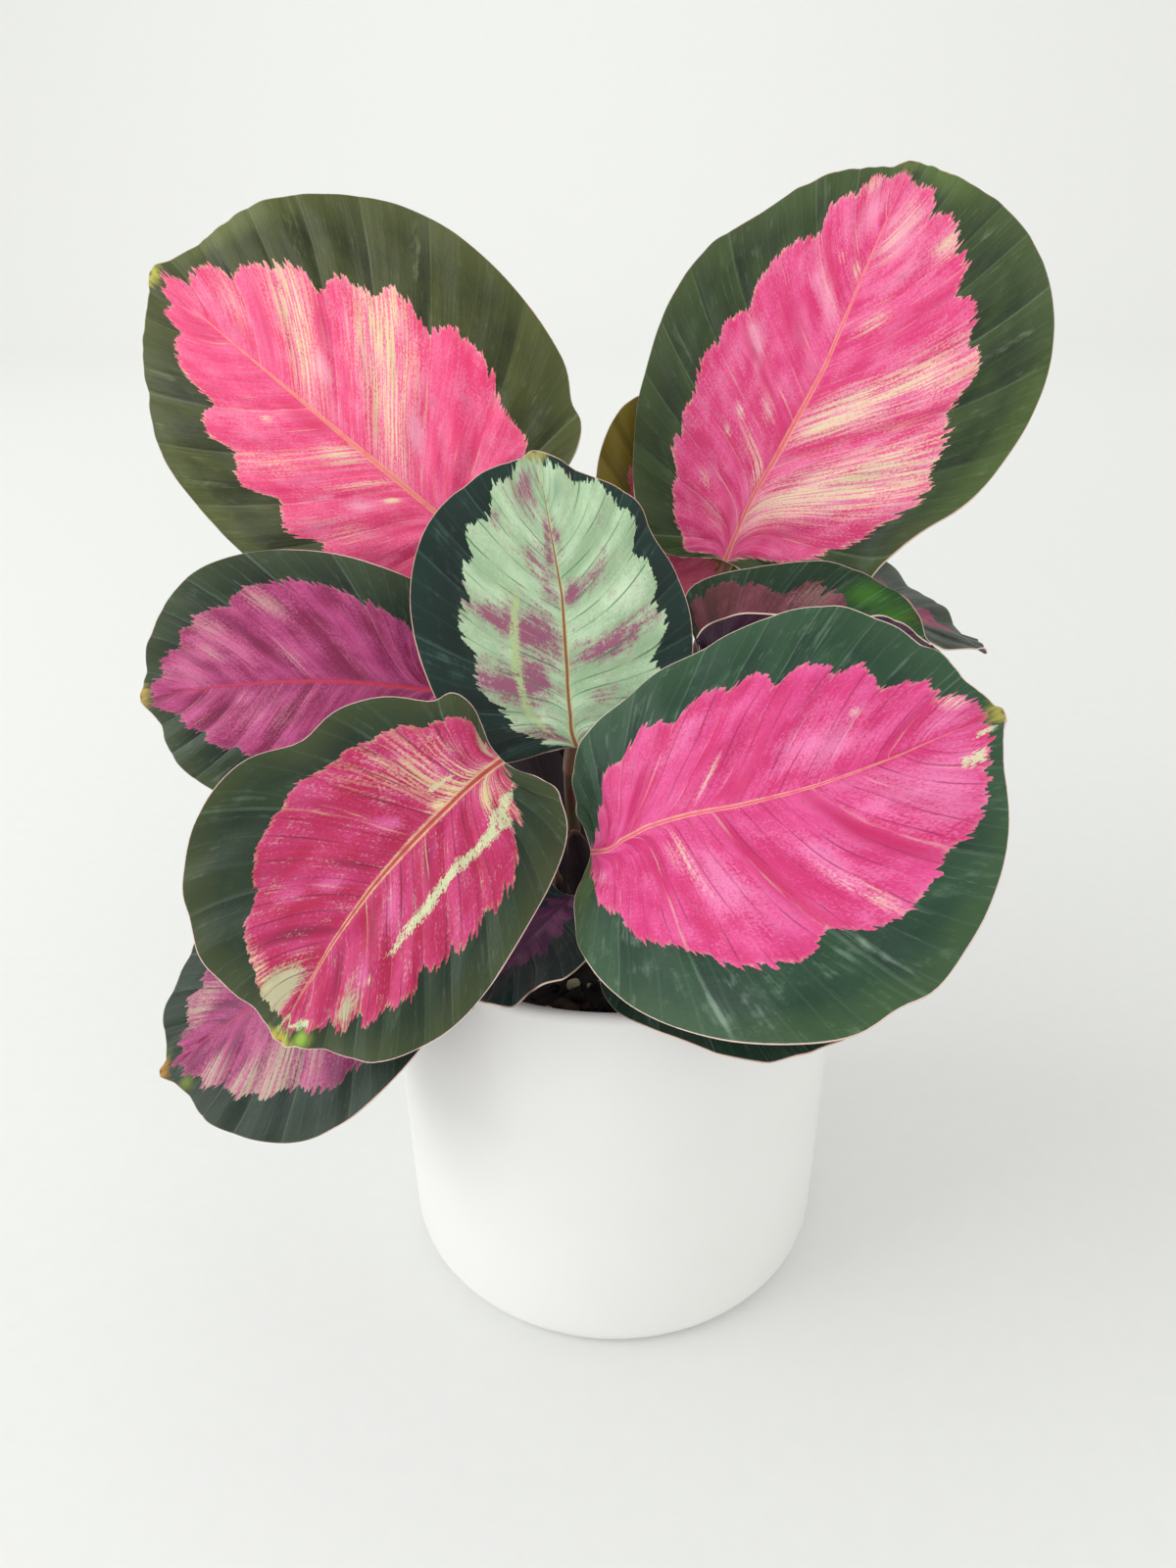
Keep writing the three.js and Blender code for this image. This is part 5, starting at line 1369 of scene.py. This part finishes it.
# The rim of a leaf: a thickened margin, pale pinkish cream with tan and greenish stretches.
rim_skin = finish_of("pale_leaf_rim")
tree = rim_skin.node_tree
vein = add(tree, "Attribute", attribute_name="vein").outputs["Vector"]
wander = add(tree, "TexNoise", {"Vector": vein, "Scale": RIM_WANDER, "Detail": 2.0})
shown = add(tree, "MapRange", wander, 0.36, 0.46)
tone = add(tree, "Mix", shown, "#7C5A44", "#E8CABC", data_type="RGBA")
shader = add(tree, "BsdfPrincipled", {"Base Color": tone, "Roughness": 0.5, "IOR": 1.4})
add(tree, "OutputMaterial", {"Surface": shader})


def slant_of(look, k, s, t):
    """How far towards the tip a vein has run at t, on one half, from the place s."""
    fall = np.clip(1 - s, 0, 1) ** look["lean_fall"]
    return look["lean"][k] * fall * (1.2 * t - 0.3 * t * t)


def pleat_lines(look, k):
    """Where the pleats of one half leave the midrib, as shares of its length."""
    lines = [s - slant_of(look, k, s, 0.65) for s in look["pleats"][k]]
    while lines[0] > -0.6:
        lines.insert(0, 2 * lines[0] - lines[1])
    while lines[-1] < 1.1:
        lines.append(2 * lines[-1] - lines[-2])
    return np.array(lines)


def blade(name, leaf, look):
    """One leaf blade: a grid drawn to the pattern, bent, pleated, waved, then given its wall."""
    length = leaf["length"]
    widest = max(leaf["left"]["width"], leaf["right"]["width"])
    rows, half_columns = round(length / BLADE_CELL[0]), round(widest / BLADE_CELL[1])
    piece, s, w = grid_of("leaf_" + name, rows, 2 * half_columns)
    t = np.sign(w) * (0.5 * np.abs(w) + 0.25 * (1 - np.cos(np.pi * np.abs(w))))
    left = t >= 0
    across = np.abs(t)
    path_at, path_by = zip(*look["rib_path"])
    moved = t + np.interp(s, path_at, path_by) * (1 - t * t)
    spots = blade_place(leaf, look, s, moved)
    inner = np.clip(s, 0.01, 0.99)
    reach = np.clip(moved, -0.98, 0.98)
    ahead, behind = (blade_place(leaf, look, inner + step, moved) for step in (0.004, -0.004))
    more, less = (blade_place(leaf, look, inner, reach + step) for step in (0.01, -0.01))
    normal = np.cross(ahead - behind, more - less)
    normal /= np.linalg.norm(normal, axis=1)[:, None] + 1e-9

    # Veins slant from the midrib towards the tip; pleats and teeth follow them.
    vein = s - by_side(left, [slant_of(look, k, s, across) for k in (0, 1)])
    _, _, vein_length = flat_place(leaf, look, s, t)
    pleats = [pleat_lines(look, k) for k in (0, 1)]
    pleat_count = by_side(left, [np.interp(vein, lines, np.arange(len(lines))) for lines in pleats])
    arched = 1 - np.abs(2 * (pleat_count % 1) - 1) ** PLEAT_BULGE
    ends = smooth(s, 0, 0.08) * smooth(1 - s, 0, 0.1)
    fade = smooth(across, 0.02, 0.3) * (1 - 0.35 * smooth(across, 0.7, 1))
    lift = PLEAT_HEIGHT * (arched - 0.6) * fade * ends
    wave = np.sin(2 * np.pi * WAVES * s + leaf["phase"] + np.where(left, 1, -1))
    lift = lift + WAVE_HEIGHT * wave * across ** 3 * ends
    seed = leaf["phase"] * 10
    quilt_at = zip(vein * length / 9, t * vein_length / 16)
    quilt = np.array([noise.noise(Vector((a, b, seed))) for a, b in quilt_at])
    lift = lift + look["quilt"] * quilt * ends * smooth(across, 0.03, 0.15)
    lift = lift - 0.35 * np.exp(-(across * vein_length / 1.1) ** 2) * (1 - s) * ends
    shape_to(piece.data, spots + normal * lift[:, None])

    # What the face's material reads.
    reach_mm = across * vein_length
    rim_mm = (1 - across) * vein_length
    edges = [np.interp(s, *zip(*look["patch"][k])) for k in (0, 1)]
    patch_mm = (by_side(left, edges) - across) * vein_length
    rib_width = look["rib_width"] * (0.25 + 1.1 * (1 - s) ** 1.1)
    tones = {}
    for tone in ("cream", "stain", "glow", "pale", "crease", "sheen"):
        tones[tone] = np.full_like(s, look.get(tone + "_base", 0))
        lifted = -look["stain_base"] if tone == "stain" else 0
        for side, at, middle, span, spread, amount in look["washes"].get(tone, ()):
            vein_at = at - slant_of(look, 0 if side > 0 else 1, at, middle)
            near = ((vein - vein_at) / span) ** 2 + ((across - middle) / spread) ** 2
            tones[tone] += np.where(left == (side > 0), (amount + lifted) * np.exp(-near), 0)
    stroke = np.full_like(s, -9.0)
    for side, *stops in look["strokes"]:
        for (s0, t0, w0), (s1, t1, w1) in zip(stops, stops[1:]):
            run = (s - s0) * (s1 - s0) + (across - t0) * (t1 - t0)
            part = np.clip(run / ((s1 - s0) ** 2 + (t1 - t0) ** 2), 0, 1)
            off_s, off_t = s - s0 - part * (s1 - s0), across - t0 - part * (t1 - t0)
            gap = np.hypot(off_s * length, off_t * vein_length)
            within = (w0 + part * (w1 - w0)) * vein_length - gap
            stroke = np.where(left == (side > 0), np.maximum(stroke, within), stroke)
    x, y, _ = flat_place(leaf, look, s, t)
    tip_mm = np.hypot(length * (1 + leaf["left"].get("tip", TIP)) - x, y)
    for kind, columns in (
        ("vein", (vein * length * VEIN_SPACING, t * vein_length, np.full_like(s, seed))),
        ("bounds", (patch_mm, rim_mm, reach_mm / rib_width)),
        ("wash", (tones["cream"], tones["stain"], tones["glow"])),
        # Painted highlights, painted crease shade and painted reflections.
        ("light_and_shade", (tones["pale"], tones["crease"], tones["sheen"])),
        ("marks", (stroke, pleat_count, tip_mm)),
    ):
        give_vectors(piece.data, kind, np.column_stack(columns))

    # The wall: thin, and thicker under the midrib. Its weight is the share of the full depth.
    deepest = BLADE_SKIN + RIB_DEPTH
    body = BLADE_SKIN + RIB_DEPTH * np.exp(-(reach_mm / RIB_SPREAD) ** 2) * (1 - s) ** 0.7
    group = piece.vertex_groups.new(name="wall")
    for i, share in enumerate(body / deepest):
        group.add([i], float(share), "REPLACE")
    only(piece)
    bpy.ops.object.mode_set(mode="EDIT")
    bpy.ops.mesh.select_all(action="SELECT")
    bpy.ops.mesh.remove_doubles(threshold=0.02 * MM)
    bpy.ops.object.mode_set(mode="OBJECT")
    for skin in (leaf_face(name, look), back_skin, rim_skin):
        piece.data.materials.append(skin)
    wall = piece.modifiers.new("wall", "SOLIDIFY")
    wall.thickness = deepest * MM
    wall.offset = -1
    wall.vertex_group = "wall"
    wall.material_offset = 1
    wall.material_offset_rim = 2
    bpy.ops.object.modifier_apply(modifier=wall.name)
    bpy.ops.object.shade_smooth_by_angle(angle=math.radians(60))
    piece.vertex_groups.clear()
    stand(piece, "leaf_blade", "blade_" + name)


for name, leaf in LEAVES.items():
    blade(name, leaf, {**COMMON, **LOOKS[name]})


# ---- the floor and the light ---------------------------------------------------------------
# A plain off-white paper sheet that curves up far behind, a broad soft window to the left, a lamp
# that evens out the paper behind, and pale walls all round that fill in the shade.

PAPER_WIDTH = 16  # in metres, as are the other sizes here
PAPER_BACK = 2.6  # how far behind the plant the paper starts to rise
PAPER_CURVE = 1.4
PAPER_STEPS = 18
PAPER_RISE = 5

bpy.ops.object.select_all(action="DESELECT")
bpy.ops.mesh.primitive_plane_add(size=PAPER_WIDTH, location=(0, PAPER_BACK - PAPER_WIDTH / 2, 0))
floor = bpy.context.object
floor.name = "studio_floor"
bpy.ops.object.transform_apply(location=True)
bpy.ops.object.mode_set(mode="EDIT")
bpy.ops.mesh.select_mode(type="VERT")
bpy.ops.mesh.select_all(action="DESELECT")
bpy.ops.object.mode_set(mode="OBJECT")
for v in floor.data.vertices:
    v.select = v.co.y > 0
bpy.ops.object.mode_set(mode="EDIT")
for i in range(PAPER_STEPS):
    step = PAPER_CURVE * math.pi / 2 / PAPER_STEPS
    angle = (i + 0.5) / PAPER_STEPS * math.pi / 2
    move = (0, step * math.cos(angle), step * math.sin(angle))
    bpy.ops.mesh.extrude_region_move(TRANSFORM_OT_translate={"value": move})
bpy.ops.mesh.extrude_region_move(TRANSFORM_OT_translate={"value": (0, 0, PAPER_RISE)})
bpy.ops.object.mode_set(mode="OBJECT")
bpy.ops.object.shade_smooth()

# Matt paper: off-white, with a fine fibrous unevenness.
paper = finish_of("matt_white_paper")
tree = paper.node_tree
place = add(tree, "TexCoord").outputs["Object"]
fibre = add(tree, "TexNoise", {"Vector": place, "Scale": 120.0, "Detail": 4.0})
tone = add(tree, "Mix", fibre, "#EEEFED", "#F2F3F1", data_type="RGBA")
shader = add(tree, "BsdfPrincipled", {"Base Color": tone, "Roughness": 0.85, "IOR": 1.3})
add(tree, "OutputMaterial", {"Surface": shader})
floor.data.materials.append(paper)
floor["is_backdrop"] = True

world = bpy.data.worlds.new("pale_room")
world.use_nodes = True
world.node_tree.nodes.clear()
air = add(world.node_tree, "Background", {"Color": "#F5F5F3", "Strength": 0.97})
add(world.node_tree, "OutputWorld", {"Surface": air})
bpy.context.scene.world = world
bpy.context.scene.view_settings.view_transform = "Standard"

for label, where, aim, size, power, colour in (
    ("window", (-2.1, -0.45, 1.25), (0, 0, 0.2), 1.8, 24, "#FAFDFF"),
    ("backdrop_wash", (-0.3, 2.0, 2.0), (0, 4, 0.6), 2.0, 6, "#FFFFFF"),
):
    bpy.ops.object.light_add(type="AREA", location=where)
    lamp = bpy.context.object
    lamp.name = label
    lamp.data.size = size
    lamp.data.energy = power
    lamp.data.color = linear(colour)[:3]
    lamp.rotation_euler = (Vector(aim) - Vector(where)).to_track_quat("-Z", "Y").to_euler()


# ---- the end -------------------------------------------------------------------------------
# The box of what is shown, the paper backdrop left out.

low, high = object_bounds()
